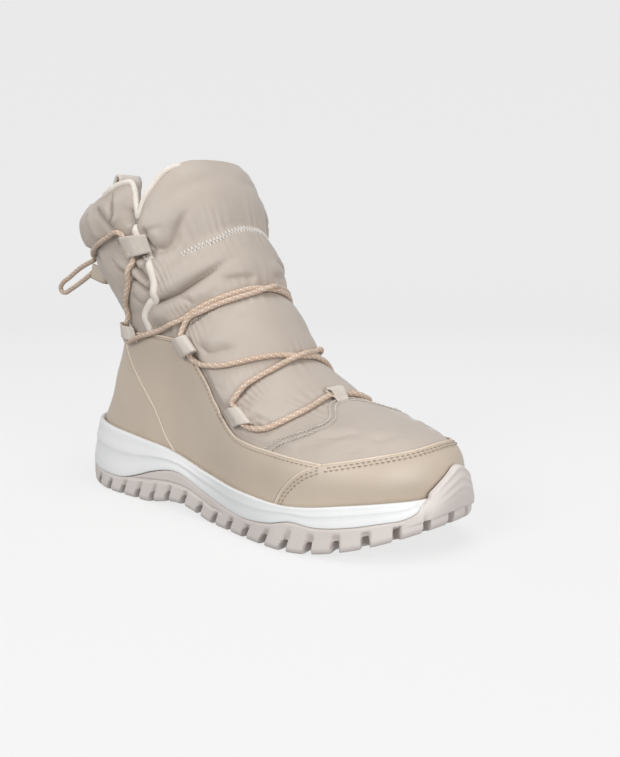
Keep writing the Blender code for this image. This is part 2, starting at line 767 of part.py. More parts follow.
def make_outsole():
    """The rubber tray with its bumper and its lugs."""
    a = around_columns()
    top = rubber_line(a)
    toe = bumper(a)
    foam_z = side_line(a, "foam_z")
    base = outline(a, np.full(COLUMNS, LUG_EDGE))
    low = with_z(base, ground(base[:, 0]))
    plan = outline(a)
    start = ground(plan[:, 0]) + WALL_FOOT
    wall_top = with_z(plan, top - RIM_ROUND)
    lean = form_at_height(a, top - RIM_ROUND, CUP_CLEAR + BUMPER_WALL)
    over = ease((top - foam_z) / BUMPER_LEAN)
    wall_top[:, :2] += (lean - wall_top)[:, :2] * over[:, None]
    loops = [low]
    out = outline(a, -np.ones(COLUMNS)) - plan
    for share in np.linspace(0, 1, WALL_ROWS):
        loop = with_z(plan, start)
        loop = loop + (wall_top - loop) * share
        bent = BUMPER_BELLY * np.sin(np.pi * share)
        rib = BUMPER_RIB * np.cos(BUMPER_RIBS * np.pi * share)
        loop[:, :2] += out * (ease(toe / BUMPER_FADE) * (bent + rib))[:, None]
        loops.append(loop)
    rim = wall_top.copy()
    rim[:, 2] = top
    rim[:, :2] -= out * RIM_ROUND
    thin = with_z(outline(a, np.full(COLUMNS, RUBBER_WALL)), top)
    hold = form_at_height(a, top, CUP_CLEAR)
    thin[:, :2] += (hold - thin)[:, :2] * over[:, None]
    tray = outline(a, np.full(COLUMNS, RUBBER_WALL))
    floor_z = ground(tray[:, 0]) + TRAY_RISE
    above = with_z(tray, np.maximum(np.minimum(top - 2 * GAP, foam_z + 2 * GAP), floor_z + GAP))
    floor = with_z(tray, floor_z)
    made = node("outsole", stacked([*loops, rim, thin, above, floor]), "rubber")
    cut(made, lug_cutters())
    return made


def cutter_box(bm, centre, along, across, size, heights, lean):
    """One groove cutter: a box of a length and a width in plan, between two heights, leaning as it rises."""
    for vert in bmesh.ops.create_cube(bm, size=1.0)["verts"]:
        share_x, share_y, share_z = vert.co
        plan = centre + along * (share_x * size[0]) + across * (share_y * size[1] + share_z * lean)
        vert.co = Vector((plan[0], plan[1], heights[1] if share_z > 0 else heights[0]))


def lug_cutters():
    """The grooves between the lugs round the edge, and across the middle of the tread."""
    bm = bmesh.new()
    for i in range(LUGS):
        place = np.array((i + 0.5) * 2.0 / LUGS)
        edge = outline(place)
        inward = outline(place, np.array(1.0)) - edge
        across = np.array([-inward[1], inward[0]])
        centre = edge + inward * (LUG_DEPTH - LUG_OVERRUN) / 2
        lift = float(ground(edge[0]))
        lean = LUG_LEAN if place < 1 else -LUG_LEAN
        heights = (lift - CUT_BELOW, lift + LUG_RISE)
        cutter_box(bm, centre, inward, across, (LUG_DEPTH + LUG_OVERRUN, LUG_GROOVE), heights, lean)
    for x in CENTRE_GROOVES:
        half = [float(sole_half(np.array(inner), np.array(x))) for inner in (False, True)]
        centre = np.array([x, float(centre_y(np.array(x))) + (half[1] - half[0]) / 2])
        length = sum(half) - 2 * (LUG_DEPTH + CENTRE_MARGIN)
        cutter_box(bm, centre, AXIS_Y, AXIS_X, (length, CENTRE_GROOVE), (-CUT_BELOW, LUG_RISE), 0.0)
    bmesh.ops.recalc_face_normals(bm, faces=bm.faces)
    made = node("lug_cutters", bm, "rubber")
    made.hide_render = True
    made.display_type = "WIRE"
    return made


def cut(obj, cutter):
    """Takes a cutter out of a body."""
    taken = obj.modifiers.new("cut", "BOOLEAN")
    taken.operation = "DIFFERENCE"
    taken.solver = "EXACT"
    taken.use_self = True
    taken.object = cutter


def make_insole():
    """The insole, inside the upper and standing on the cup."""
    a = around_columns()
    low = shell_point(a, np.zeros(COLUMNS), np.full(COLUMNS, -(WALL + INSOLE_CLEAR)))
    low[:, 2] = form_point(a, np.zeros(COLUMNS))[:, 2]
    high = low.copy()
    high[:, 2] += INSOLE_THICK
    return node("insole", stacked([low, high]), "fleece")


def panel(name, low, high, columns, rows):
    """A leather overlay between a low and a high line, each of places around the boot and levels up it."""
    def place(across, up):
        base = np.stack([np.interp(across, *line) for line in low], axis=-1)
        edge = np.stack([np.interp(across, *line) for line in high], axis=-1)
        at = base + (edge - base) * up[:, None]
        return skin_point(at[:, 0], at[:, 1], LEATHER_LIFT + LEATHER)

    made = node(name, grid(columns, rows, place), "leather")
    return thicken(made, LEATHER)


def line_of(points):
    """A line given as places around and levels, as the two functions of its own length that panel takes."""
    points = np.array(points, float)
    share = np.linspace(0, 1, len(points))
    return (share, points[:, 0]), (share, points[:, 1])


def tuck_level(around):
    """The level of a leather panel's lower edge, hidden inside the foam cup."""
    around = np.asarray(around, float)
    z = side_line(around, "foam_z") - LEATHER_TUCK
    levels = np.linspace(0, LOW_LEVELS, 150)
    stack = form_point(around[None, :], levels[:, None])[..., 2]
    return np.array([np.interp(z[i], stack[:, i], levels) for i in range(len(around))])


def edge_places(names):
    """Named points of the leather's top edge, as places around and levels."""
    return [(float(around_at(LEATHER_EDGE[name][0])), LEATHER_EDGE[name][1]) for name in names]


def make_leather():
    """Toe guard, two quarters and heel counter."""
    seam = PANEL_SEAM
    counter_low = float(around_at(COUNTER_LOW_AT))
    toe_low = float(around_at(TOE_LOW_AT))
    names = list(LEATHER_EDGE)
    toe = edge_places(names[: names.index("toe_joint") + 1])
    top = densify([*[(-a, v) for a, v in toe[:0:-1]], *toe])
    base = np.linspace(-toe_low, toe_low, LINE_POINTS)
    panel("toe_guard", line_of(np.stack([base, tuck_level(base)], -1)), line_of(top), 24, 3)
    top = edge_places(names[names.index("toe_joint") : names.index("back")])
    top[0] = (top[0][0] + seam, top[0][1])
    top[-1] = (top[-1][0] - seam, top[-1][1])
    top = densify(top)
    stops = [toe_low + seam, *around_at(np.array(QUARTER_LOW_STOPS)), counter_low - seam]
    base = np.interp(np.linspace(0, 1, LINE_POINTS), QUARTER_LOW_SHARES, stops)
    low = np.stack([base, tuck_level(base)], -1)
    panel("quarter_lateral", line_of(low), line_of(top), 16, 5)
    flip = np.array([-1.0, 1.0])
    panel("quarter_medial", line_of((low * flip)[::-1]), line_of((top * flip)[::-1]), 16, 5)
    base = np.linspace(counter_low + seam, 2 - counter_low - seam, LINE_POINTS)
    (side, level), (back, peak) = edge_places(("counter", "back"))
    top = densify([(side + seam, level), (back, peak), (2 - side - seam, level)])
    panel("heel_counter", line_of(np.stack([base, tuck_level(base)], -1)), line_of(top), 20, 6)


def densify(points, count=LINE_POINTS):
    """A line through a few points, spread evenly along its own length over the boot."""
    points = np.array(points, float)
    fine = np.linspace(0, len(points) - 1, SPREADS)
    keys = np.arange(len(points))
    line = np.stack([np.interp(fine, keys, points[:, i]) for i in range(2)], axis=-1)
    place = form_point(line[:, 0], line[:, 1])
    length = np.concatenate([[0.0], np.cumsum(np.linalg.norm(np.diff(place, axis=0), axis=1))])
    want = np.linspace(0, length[-1], count)
    return np.stack([np.interp(want, length, line[:, i]) for i in range(2)], axis=-1)


def route_points(rows, side):
    """The points of a cord's route over the upper, on one side."""
    along, level, lift = (column(rows, ROUTE_COLUMNS, name) for name in ROUTE_COLUMNS)
    return skin_point(around_at(along) * side, level, lift)


def tube(name, points, diameter, stuff, roundness=2):
    """A round cord along its points, with closed ends. Its section has 4 + 2 * roundness sides."""
    curve = bpy.data.curves.new(name, "CURVE")
    curve.dimensions = "3D"
    curve.bevel_depth = diameter / 2 * MM
    curve.bevel_resolution = roundness
    curve.use_fill_caps = True
    spline = curve.splines.new("POLY")
    spline.points.add(len(points) - 1)
    for spot, point in zip(spline.points, points):
        spot.co = (*(Vector(point) * MM), 1.0)
    made = bpy.data.objects.new(name, curve)
    made.data.materials.append(material(stuff))
    bpy.context.scene.collection.objects.link(made)
    made.parent = ROOT
    return made


def as_mesh(obj):
    """A curve object turned into a welded mesh object of the same name."""
    bpy.context.view_layer.update()
    found = obj.evaluated_get(bpy.context.evaluated_depsgraph_get())
    mesh = bpy.data.meshes.new_from_object(found)
    name = obj.name
    stuff = obj.data.materials[0]
    bpy.data.objects.remove(obj)
    bm = bmesh.new()
    bm.from_mesh(mesh)
    bmesh.ops.remove_doubles(bm, verts=bm.verts, dist=1e-6)
    bmesh.ops.recalc_face_normals(bm, faces=bm.faces)
    bm.to_mesh(mesh)
    bm.free()
    mesh.materials.clear()
    mesh.materials.append(stuff)
    made = bpy.data.objects.new(name, mesh)
    bpy.context.scene.collection.objects.link(made)
    made.parent = ROOT
    return made


def crossing(name, low_run, middle, high_run):
    """Two cord runs that cross at the front, joined into one body."""
    runs = []
    for side in (1.0, -1.0):
        start = route_points(low_run, side)
        end = route_points(high_run, -side)
        points = np.concatenate([start, route_points([middle], side), end])
        label = name if side > 0 else name + "_other"
        runs.append(as_mesh(tube(label, points, CORD, "cord", 1)))
    runs[1].hide_render = True
    runs[1].display_type = "WIRE"
    join = runs[0].modifiers.new("join", "BOOLEAN")
    join.operation = "UNION"
    join.solver = "EXACT"
    join.object = runs[1]


def make_laces():
    """The elastic cord, run by run, and its slack bight."""
    half = route_points(THROAT_RUN, 1.0)
    other = route_points(THROAT_RUN[:-1], -1.0)[::-1]
    tube("lace_throat", np.concatenate([half, other]), CORD, "cord", 1)
    crossing("lace_cross", CROSS_LOW_RUN, CROSS_AT, CROSS_HIGH_RUN)
    crossing("lace_double", DOUBLE_LOW_RUN, DOUBLE_AT, DOUBLE_HIGH_RUN)
    tube("lace_side_lateral", route_points(SIDE_RUN, 1.0), CORD, "cord", 1)
    tube("lace_side_medial", route_points(SIDE_RUN, -1.0), CORD, "cord", 1)
    half = route_points(COLLAR_RUN, 1.0)
    other = route_points(COLLAR_RUN, -1.0)[::-1]
    tube("lace_collar", np.concatenate([half, route_points([COLLAR_BACK], 1.0), other]), CORD, "cord", 1)
    tube("lace_bight", np.array(BIGHT), CORD, "cord")


def sleeve(name, points, up):
    """A flat webbing sleeve along a cord, open at both ends. Up is the way out from the boot there."""
    points = np.array(points)
    along = np.gradient(points, axis=0)
    along /= np.linalg.norm(along, axis=1, keepdims=True)
    across = np.cross(along, up)
    across /= np.linalg.norm(across, axis=1, keepdims=True)
    out = np.cross(across, along)

    def place(share, length):
        turn = share * 2 * np.pi
        at = [np.stack([np.interp(length, np.linspace(0, 1, len(points)), part[:, i]) for i in range(3)], -1)
              for part in (points, across, out)]
        wide = KEEPER_WIDE * np.sign(np.cos(turn)) * np.abs(np.cos(turn)) ** KEEPER_ROUND
        high = KEEPER_HIGH * np.sign(np.sin(turn)) * np.abs(np.sin(turn)) ** KEEPER_ROUND
        return at[0] + at[1] * wide[:, None] + at[2] * high[:, None]

    bm = grid(KEEPER_SIDES, len(points) - 1, place, closed=True)
    bmesh.ops.recalc_face_normals(bm, faces=bm.faces)
    made = node(name, bm, "webbing")
    centre = sum((f.center for f in made.data.polygons), Vector()) / len(made.data.polygons)
    if sum((f.center - centre).dot(f.normal) for f in made.data.polygons) < 0:
        made.data.flip_normals()
    return thicken(made, KEEPER_WALL)


def make_keepers():
    """The webbing keepers: one at the throat and four on each side."""
    for name, rows in KEEPERS.items():
        for side, label in ((1.0, "lateral"), (-1.0, "medial")):
            middle = rows[len(rows) // 2]
            up = form_normal(around_at(middle[0]) * side, middle[1])
            sleeve(f"keeper_{name}_{label}", route_points(rows, side), up)
    centre = route_points([THROAT_RUN[-1]], 1.0)[0]
    up = form_normal(np.array(0.0), np.array(THROAT_RUN[-1][1]))
    step = np.array([0.0, THROAT_KEEPER_HALF, 0.0])
    sleeve("keeper_throat", [centre - step, centre, centre + step], up)


def make_trim():
    """Binding of the front panel's rear edges, pull loop and cord tab."""
    for side, label in ((1.0, "lateral"), (-1.0, "medial")):
        tube(f"panel_binding_{label}", route_points(BINDING_ROUTE, side), BINDING, "fleece", 1)

    def strap(length, across):
        spot = np.linspace(0, 1, len(LOOP))
        x, z = (smooth(length, spot, column(LOOP, LOOP_COLUMNS, name)) for name in LOOP_COLUMNS)
        return np.stack([x, (across - 0.5) * LOOP_WIDE, z], axis=-1)

    thicken(node("pull_loop", grid(16, 1, strap), "leather"), LOOP_STRAP)
    bm = bmesh.new()
    bmesh.ops.create_cube(bm, size=1.0)
    bmesh.ops.scale(bm, vec=TAB_SIZE, verts=bm.verts)
    bmesh.ops.bevel(bm, geom=bm.edges, offset=TAB_ROUND, segments=1, affect="EDGES")
    bmesh.ops.translate(bm, vec=TAB_AT, verts=bm.verts)
    node("cord_tab", bm, "leather")


def build():
    """Makes every piece."""
    global ROOT
    for old in list(bpy.data.objects):
        bpy.data.objects.remove(old)
    ROOT = bpy.data.objects.new("frame", None)
    ROOT.location = (FRAME_SHIFT_X * MM, FRAME_SHIFT_Y * MM, 0.0)
    bpy.context.scene.collection.objects.link(ROOT)
    make_upper()
    make_midsole()
    make_outsole()
    make_insole()
    make_leather()
    make_laces()
    make_keepers()
    make_trim()


build()
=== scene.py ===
"""The looks of a padded winter boot for the right foot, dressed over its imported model.

Sizes are millimetres in the last's own axes: x runs from the back of the sole to its toe, y from the outer
side (negative) to the inner side, z up from the floor. A place around the boot is 0 at the toe, 1 at the back
and minus on the inner side. A level counts the rings of the upper from the sole to the collar. Along is a
share of a ring from the back, 1 at the front.
"""

import logging
import math
from dataclasses import dataclass, replace
from enum import Enum
from typing import Callable

import bmesh
import bpy
import numpy as np
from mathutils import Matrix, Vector


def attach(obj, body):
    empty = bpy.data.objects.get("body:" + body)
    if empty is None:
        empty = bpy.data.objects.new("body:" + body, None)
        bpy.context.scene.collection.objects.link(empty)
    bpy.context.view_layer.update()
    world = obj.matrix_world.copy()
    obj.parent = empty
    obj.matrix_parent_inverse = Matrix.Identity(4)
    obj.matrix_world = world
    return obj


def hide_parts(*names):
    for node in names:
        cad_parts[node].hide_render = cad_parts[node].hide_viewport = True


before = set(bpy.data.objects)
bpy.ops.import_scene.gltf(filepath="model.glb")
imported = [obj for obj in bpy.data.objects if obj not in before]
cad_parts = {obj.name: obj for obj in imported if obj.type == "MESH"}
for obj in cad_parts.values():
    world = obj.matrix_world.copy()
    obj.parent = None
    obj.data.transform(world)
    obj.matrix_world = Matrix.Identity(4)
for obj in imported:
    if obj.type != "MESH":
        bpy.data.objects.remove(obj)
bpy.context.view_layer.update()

MM = 0.001
SHIFT = np.array((-140.0, 0.5, 0.0))
BODY = "root"
LOG = logging.getLogger("boot")

Array = np.ndarray
Rows = tuple[tuple[float, ...], ...]
Mesh = bmesh.types.BMesh
Piece = bpy.types.Object
Place = Callable[[Array, Array], Array]
Span = tuple[float, float]
Point = tuple[float, float, float]
Socket = bpy.types.NodeSocket
Sockets = tuple[Socket, Socket]

# Samples of a level, of a ring's even spread and of a curve, and the levels that cover the wall of the foot
LEVEL_STEPS = 900
SPREAD_STEPS = 400
CURVE_STEPS = 1500
WALL_LEVELS = np.linspace(0, 4.5, 150)
# Steps over which a direction is worked out, and how close points are when they are one
STEP_AROUND = 0.004
STEP_LEVEL = 0.03
MERGE = 1e-4
UP = np.array((0.0, 0.0, 1.0))


class Side(Enum):
    """The boot's two sides, as the sign of a place around it."""

    LATERAL = 1.0
    MEDIAL = -1.0

    @property
    def label(self) -> str:
        """The side's name as the pieces carry it."""
        return self.name.lower()


class Slot(Enum):
    """The record's material slots."""

    NYLON = "nylon"
    FOAM = "foam"
    RUBBER = "rubber"
    LEATHER = "leather"
    FLEECE = "fleece"
    CORD = "cord"
    WEBBING = "webbing"


class Grain(Enum):
    """The fine surface of a finish."""

    WEAVE = "weave"
    HIDE = "hide"
    MOULDED = "moulded"
    PILE = "pile"
    BRAID = "braid"
    RIB = "rib"
    TWIST = "twist"


# Curves


def smooth(at: Array, keys: Array, values: Array) -> Array:
    """A cubic through a table's values, held at its two ends.

    Args:
        at: Where to read it.
        keys: The table's places, rising.
        values: The table's values.

    Returns:
        The values at those places.
    """
    keys = np.asarray(keys, float)
    values = np.asarray(values, float)
    slopes = np.gradient(values, keys)
    at = np.clip(np.asarray(at, float), keys[0], keys[-1])
    i = np.clip(np.searchsorted(keys, at) - 1, 0, len(keys) - 2)
    span = keys[i + 1] - keys[i]
    t = (at - keys[i]) / span
    start = (1 + 2 * t) * (1 - t) ** 2 * values[i] + t * (1 - t) ** 2 * span * slopes[i]
    end = t**2 * (3 - 2 * t) * values[i + 1] + t**2 * (t - 1) * span * slopes[i + 1]
    return start + end


def ease(t: Array) -> Array:
    """A soft step from 0 to 1."""
    t = np.clip(t, 0.0, 1.0)
    return t * t * (3 - 2 * t)


def rounded(t: Array, power: Array | float) -> Array:
    """The half width of a rounded end, from 1 at t 0 to 0 at t 1."""
    return (1 - np.clip(t, 0.0, 1.0) ** power) ** (1 / power)


def unit(vectors: Array) -> Array:
    """Vectors brought to a length of 1."""
    return vectors / np.maximum(np.linalg.norm(vectors, axis=-1, keepdims=True), 1e-9)


def run_lengths(points: Array) -> Array:
    """How far along a line each of its points lies."""
    return np.concatenate([[0.0], np.cumsum(np.linalg.norm(np.diff(points, axis=0), axis=1))])


def spline(points: Array, step: float) -> Array:
    """A smooth line through points.

    Args:
        points: The points, a row each.
        step: How far apart the new points lie.

    Returns:
        The new points, evenly spread.
    """
    keys = run_lengths(points)
    count = max(2, round(keys[-1] / step))
    fine = np.linspace(0, keys[-1], 4 * count + 1)
    line = np.stack([smooth(fine, keys, points[:, i]) for i in range(points.shape[1])], -1)
    return respace(line, count)


def respace(points: Array, count: int) -> Array:
    """A line's points spread evenly over it.

    Args:
        points: The line's points.
        count: The number of even steps.

    Returns:
        The new points.
    """
    keys = run_lengths(points)
    at = np.linspace(0, keys[-1], count + 1)
    return np.stack([np.interp(at, keys, points[:, i]) for i in range(points.shape[1])], -1)


def read(line: Array, share: Array) -> Array:
    """A line's points at shares of its count."""
    keys = np.linspace(0, 1, len(line))
    return np.stack([np.interp(share, keys, line[:, i]) for i in range(line.shape[1])], -1)


def turn_of(around: Array) -> Array:
    """A place around the boot without its side, 0 at the toe and 1 at the back."""
    return np.abs(np.mod(around + 1, 2) - 1)


def is_inner(around: Array) -> Array:
    """Whether a place around the boot is on the inner side."""
    return np.mod(around, 2) > 1


def paired(around: Array, level: Array) -> tuple[Array, Array]:
    """Places around and levels as arrays of one shape."""
    return np.broadcast_arrays(np.asarray(around, float), np.asarray(level, float))


# The form of the boot

FRONT_X, FRONT_Z, BACK_X, BACK_Z, SAG, PANEL = range(6)


@dataclass
class Last:
    """The smooth form of the upper and the quilting on it."""

    # Each ring: front x and z, back x and z, sag between them, share from the back where the front panel ends
    rings: Rows = (
        (268.0, 24.0, 15.0, 28.0, 7.0, 0.47), (274.5, 33.0, 11.5, 38.0, 4.0, 0.47),
        (276.0, 43.0, 13.5, 46.0, 1.0, 0.47), (271.5, 52.0, 20.0, 54.0, 0.0, 0.47),
        (262.0, 57.5, 25.5, 61.0, 0.0, 0.47), (240.0, 63.0, 30.0, 68.5, 0.0, 0.47),
        (216.0, 69.0, 33.5, 77.0, 0.0, 0.47), (199.0, 75.0, 36.0, 85.5, 0.0, 0.47),
        (182.0, 88.5, 37.0, 94.0, 0.0, 0.47), (172.0, 100.0, 37.5, 103.0, 0.0, 0.47),
        (158.0, 118.0, 36.5, 113.5, 0.0, 0.48), (150.5, 130.0, 31.5, 125.0, 0.0, 0.62),
        (141.5, 148.0, 18.5, 140.0, 0.0, 0.66), (129.5, 172.0, 7.5, 157.0, 0.0, 0.682),
        (120.0, 190.0, 5.5, 173.0, 0.0, 0.68), (110.5, 208.0, 13.5, 185.0, 0.0, 0.68),
    )
    # Height of the collar's edge by along
    rim: Rows = (
        (0.0, 185.0), (0.3, 183.0), (0.5, 189.0), (0.56, 192.0), (0.63, 193.8), (0.653, 192.5),
        (0.667, 187.0), (0.674, 178.0), (0.68, 168.0), (0.7, 175.0), (0.75, 184.0), (0.8, 191.0),
        (0.85, 198.0), (0.9, 203.5), (0.95, 206.8), (1.0, 208.0),
    )
    rim_from: float = 11.5
    # How far places lean forward at the collar, most at the notch, and the level where it starts
    notch: float = 0.68
    notch_lean: float = 0.109
    notch_lean_from: float = 13.0
    # Half widths of the foot by x, outer and inner
    foot: Rows = (
        (0.0, 35.0, 32.0), (50.0, 36.5, 33.5), (80.0, 37.5, 32.5), (118.0, 37.5, 30.5), (150.0, 43.0, 35.0),
        (180.0, 50.0, 42.5), (205.0, 52.0, 46.5), (285.0, 52.0, 46.5),
    )
    # Half widths of the shaft by z, outer and inner, and the power of its section
    shaft: Rows = (
        (55.0, 43.0, 39.0, 2.2), (90.0, 42.0, 40.0, 2.2), (115.0, 43.0, 42.0, 2.1), (145.0, 46.0, 44.5, 2.1),
        (178.0, 50.0, 47.5, 2.1), (210.0, 49.0, 46.5, 2.1),
    )
    # Top edge of the leather by along and level, from the toe to the back
    leather: Rows = (
        (1.0, 3.45), (0.96, 3.05), (0.89, 2.66), (0.834, 2.38), (0.788, 2.47), (0.711, 2.64), (0.653, 2.82),
        (0.6, 3.24), (0.58, 4.28), (0.609, 5.44), (0.645, 6.66), (0.653, 7.6), (0.638, 8.9), (0.56, 9.2),
        (0.39, 9.25), (0.15, 9.1), (0.0, 9.3),
    )
    # That table's rows where the edge turns up and back, and how far out the cloth starts to rise
    leather_turn: int = 8
    leather_corner: int = 13
    leather_clear: Point = (0.1, 0.01, 0.15)
    # How many levels a ring's length counts for in a line over the boot
    levels_along: float = 16.0
    sag_power: float = 1.6
    toe_in: float = 6.0
    toe_in_from: float = 120.0
    sole_length: float = 282.0
    toe_round_from: float = 205.0
    heel_round_from: float = 62.0
    toe_power: float = 2.15
    heel_power: float = 2.3
    vamp_power: float = 2.3
    widest_z: float = 36.0
    shaft_from_z: float = 70.0
    shaft_full_z: float = 108.0
    spread_z: float = 40.0
    # Rows of stitching across the front panel, by level at the centre, and the puff above each
    seams: tuple[float, ...] = (3.6, 6.9, 8.5, 11.2, 12.9, 15.1)
    puffs: tuple[float, ...] = (1.2, 2.2, 4.0, 4.2, 4.4)
    seam_drop: Rows = ((4.2, 2.5), (5.75, 3.1), (9.75, 1.4), (12.3, 1.0), (15.0, 0.0))
    seam_drop_turn: float = 0.35
    seam_drop_power: float = 1.3
    cuff_seams: tuple[float, ...] = (10.2, 12.7, 15.1)
    cuff_puffs: tuple[float, ...] = (2.0, 4.0)
    puff_round: float = 2.2
    puff_fade_up: float = 0.75
    puff_fade_forward: float = 0.06
    panel_fade: Span = (0.8, 0.22)
    cuff_fade: Span = (1.0, 0.25)

    def __post_init__(self) -> None:
        """Works out the side view's lines and the even spread of places around a ring."""
        self.top = len(self.rings) - 1
        self.ring_table = np.array(self.rings).T
        self.rim_table = np.array(self.rim).T
        self.foot_table = np.array(self.foot).T
        self.shaft_table = np.array(self.shaft).T
        self.leather_table = np.array(self.leather).T
        levels = np.linspace(0, self.top, LEVEL_STEPS)
        self.front_x, self.front_z, self.back_x, self.back_z = (self.ring(levels, c) for c in range(4))
        self.toe_end = int(np.argmax(self.front_x))
        self.spread_at = np.linspace(0, 1, SPREAD_STEPS)
        z = self.spread_z
        turn = np.linspace(0, np.pi, CURVE_STEPS)
        x = self.back_at(z) + (self.front_at(z) - self.back_at(z)) * (1 + np.cos(turn)) / 2
        y = self.half_width(np.zeros(x.shape, bool), x, np.full(x.shape, z))
        spread = respace(np.stack([x, y], -1), SPREAD_STEPS - 1)[:, 0]
        self.spread = (spread - spread[-1]) / (spread[0] - spread[-1])

    def ring(self, level: Array, column: int) -> Array:
        """One column of the rings table at any level between two rings."""
        return smooth(level, np.arange(self.top + 1), self.ring_table[column])

    def front_at(self, z: Array) -> Array:
        """Where the front line stands at a height."""
        return np.interp(z, self.front_z, self.front_x)

    def back_at(self, z: Array) -> Array:
        """Where the back line stands at a height."""
        return np.interp(z, self.back_z, self.back_x)

    def centre_y(self, x: Array) -> Array:
        """The last's curve towards the inner side at the toe."""
        share = np.clip((x - self.toe_in_from) / (self.sole_length - self.toe_in_from), 0, 1)
        return self.toe_in * share**2

    def half_width(self, inner: Array, x: Array, z: Array) -> Array:
        """Half the boot's width at a point of its side view.

        Args:
            inner: Whether the point is on the inner side.
            x: Its place along the boot.
            z: Its height.

        Returns:
            The half widths.
        """
        keys, outer_foot, inner_foot = self.foot_table
        wide = np.where(inner, smooth(x, keys, inner_foot), smooth(x, keys, outer_foot))
        toe_x = np.where(z < self.front_z[self.toe_end], self.front_at(z), self.front_x[self.toe_end])
        toe = rounded((x - self.toe_round_from) / (toe_x - self.toe_round_from), self.toe_power)
        heel = rounded((self.heel_round_from - x) / (self.heel_round_from - self.back_at(z)), self.heel_power)
        over = slice(self.toe_end, None)
        top = np.interp(x, self.front_x[over][::-1], self.front_z[over][::-1])
        rise = (z - self.widest_z) / np.maximum(top - self.widest_z, 1.0)
        foot = wide * toe * heel * rounded(rise, self.vamp_power)
        keys, outer_shaft, inner_shaft, powers = self.shaft_table
        wide = np.where(inner, smooth(z, keys, inner_shaft), smooth(z, keys, outer_shaft))
        middle = (self.front_at(z) + self.back_at(z)) / 2
        reach = (self.front_at(z) - self.back_at(z)) / 2
        shaft = wide * rounded(np.abs(x - middle) / reach, smooth(z, keys, powers))
        share = ease((z - self.shaft_from_z) / (self.shaft_full_z - self.shaft_from_z))
        return foot + (shaft - foot) * share

    def along_at(self, around: Array) -> Array:
        """Share of a ring from the back, for a place around it."""
        return np.interp(turn_of(np.asarray(around, float)), self.spread_at, self.spread)

    def around_at(self, along: Array) -> Array:
        """The place around a ring for a share of it from the back, on the outer side."""
        return np.interp(along, self.spread[::-1], self.spread_at[::-1])

    def point(self, around: Array, level: Array) -> Array:
        """A point of the smooth form, without quilting.

        Args:
            around: Its place around the boot.
            level: Its level.

        Returns:
            Points, a row each.
        """
        around, level = paired(around, level)
        inner = is_inner(around)
        share = self.along_at(around)
        lean = (level - self.notch_lean_from) / (self.top - self.notch_lean_from)
        lean = self.notch_lean * np.clip(lean, 0, 1)
        behind = share < self.notch
        along = share + lean * np.where(behind, (share / self.notch) ** 2, (1 - share) / (1 - self.notch))
        x = self.ring(level, BACK_X) + along * (self.ring(level, FRONT_X) - self.ring(level, BACK_X))
        z = self.ring(level, BACK_Z) + along * (self.ring(level, FRONT_Z) - self.ring(level, BACK_Z))
        z = z - self.ring(level, SAG) * np.sin(np.pi * along**self.sag_power)
        collar = self.rings[-1]
        straight = collar[BACK_Z] + along * (collar[FRONT_Z] - collar[BACK_Z])
        edge = np.interp(share, *self.rim_table)
        z = z + (edge - straight) * ease((level - self.rim_from) / (self.top - self.rim_from))
        y = self.centre_y(x) + np.where(inner, 1.0, -1.0) * self.half_width(inner, x, z)
        return np.stack([x, y, z], axis=-1)

    def normal(self, around: Array, level: Array) -> Array:
        """The outward direction of the smooth form.

        Args:
            around: Places around the boot.
            level: Levels.

        Returns:
            Directions, a row each.
        """
        around, level = paired(around, level)
        low = np.clip(level - STEP_LEVEL, 0, self.top)
        high = np.clip(level + STEP_LEVEL, 0, self.top)
        across = self.point(around + STEP_AROUND, level) - self.point(around - STEP_AROUND, level)
        return unit(np.cross(self.point(around, high) - self.point(around, low), across))

    def bulge(self, level: Array, seams: tuple[float, ...], heights: tuple[float, ...]) -> Array:
        """The height of the puffs between rows of stitching.

        Args:
            level: Levels.
            seams: The rows' levels.
            heights: The puff above each row.

        Returns:
            The height at each level.
        """
        found = np.zeros_like(level)
        for low, high, height in zip(seams[:-1], seams[1:], heights):
            share = (level - low) / (high - low)
            puff = height * (1 - np.abs(2 * share - 1) ** self.puff_round)
            found = np.where((share >= 0) & (share < 1), puff, found)
        return found

    def panel_share(self, around: Array, level: Array) -> Array:
        """0 at the front centre and 1 at the front panel's rear edge."""
        return turn_of(around) / self.around_at(self.ring(level, PANEL))

    def seam_level(self, around: Array, level: Array) -> Array:
        """The level as the front panel's seams count it, which sag to the sides."""
        drop = smooth(level, *np.array(self.seam_drop).T)
        return level + drop * (turn_of(around) / self.seam_drop_turn) ** self.seam_drop_power

    def quilting(self, around: Array, level: Array) -> Array:
        """How far the padded cloth stands out from the smooth form.

        Args:
            around: Places around the boot.
            level: Levels.

        Returns:
            The height at each place.
        """
        around, level = paired(around, level)
        share = self.panel_share(around, level)
        front = self.bulge(self.seam_level(around, level), self.seams, self.puffs)
        front = front * (1 - ease((share - self.panel_fade[0]) / self.panel_fade[1]))
        rear = self.bulge(level, self.cuff_seams, self.cuff_puffs)
        rear = rear * ease((share - self.cuff_fade[0]) / self.cuff_fade[1])
        return np.maximum(front, rear) * self.clear_of_leather(self.along_at(around), level)

    def trace(self, rows: Rows, side: Side, step: float = 0.4) -> Array:
        """A smooth line over one side of the boot.

        Args:
            rows: Its along and level, in order.
            side: The side.
            step: How far apart its places lie, in levels.

        Returns:
            Places around and levels, a row each.
        """
        stretch = np.array((self.levels_along, 1.0))
        line = spline(np.array(rows) * stretch, step) / stretch
        line[:, 0] = self.around_at(line[:, 0]) * side.value
        return line

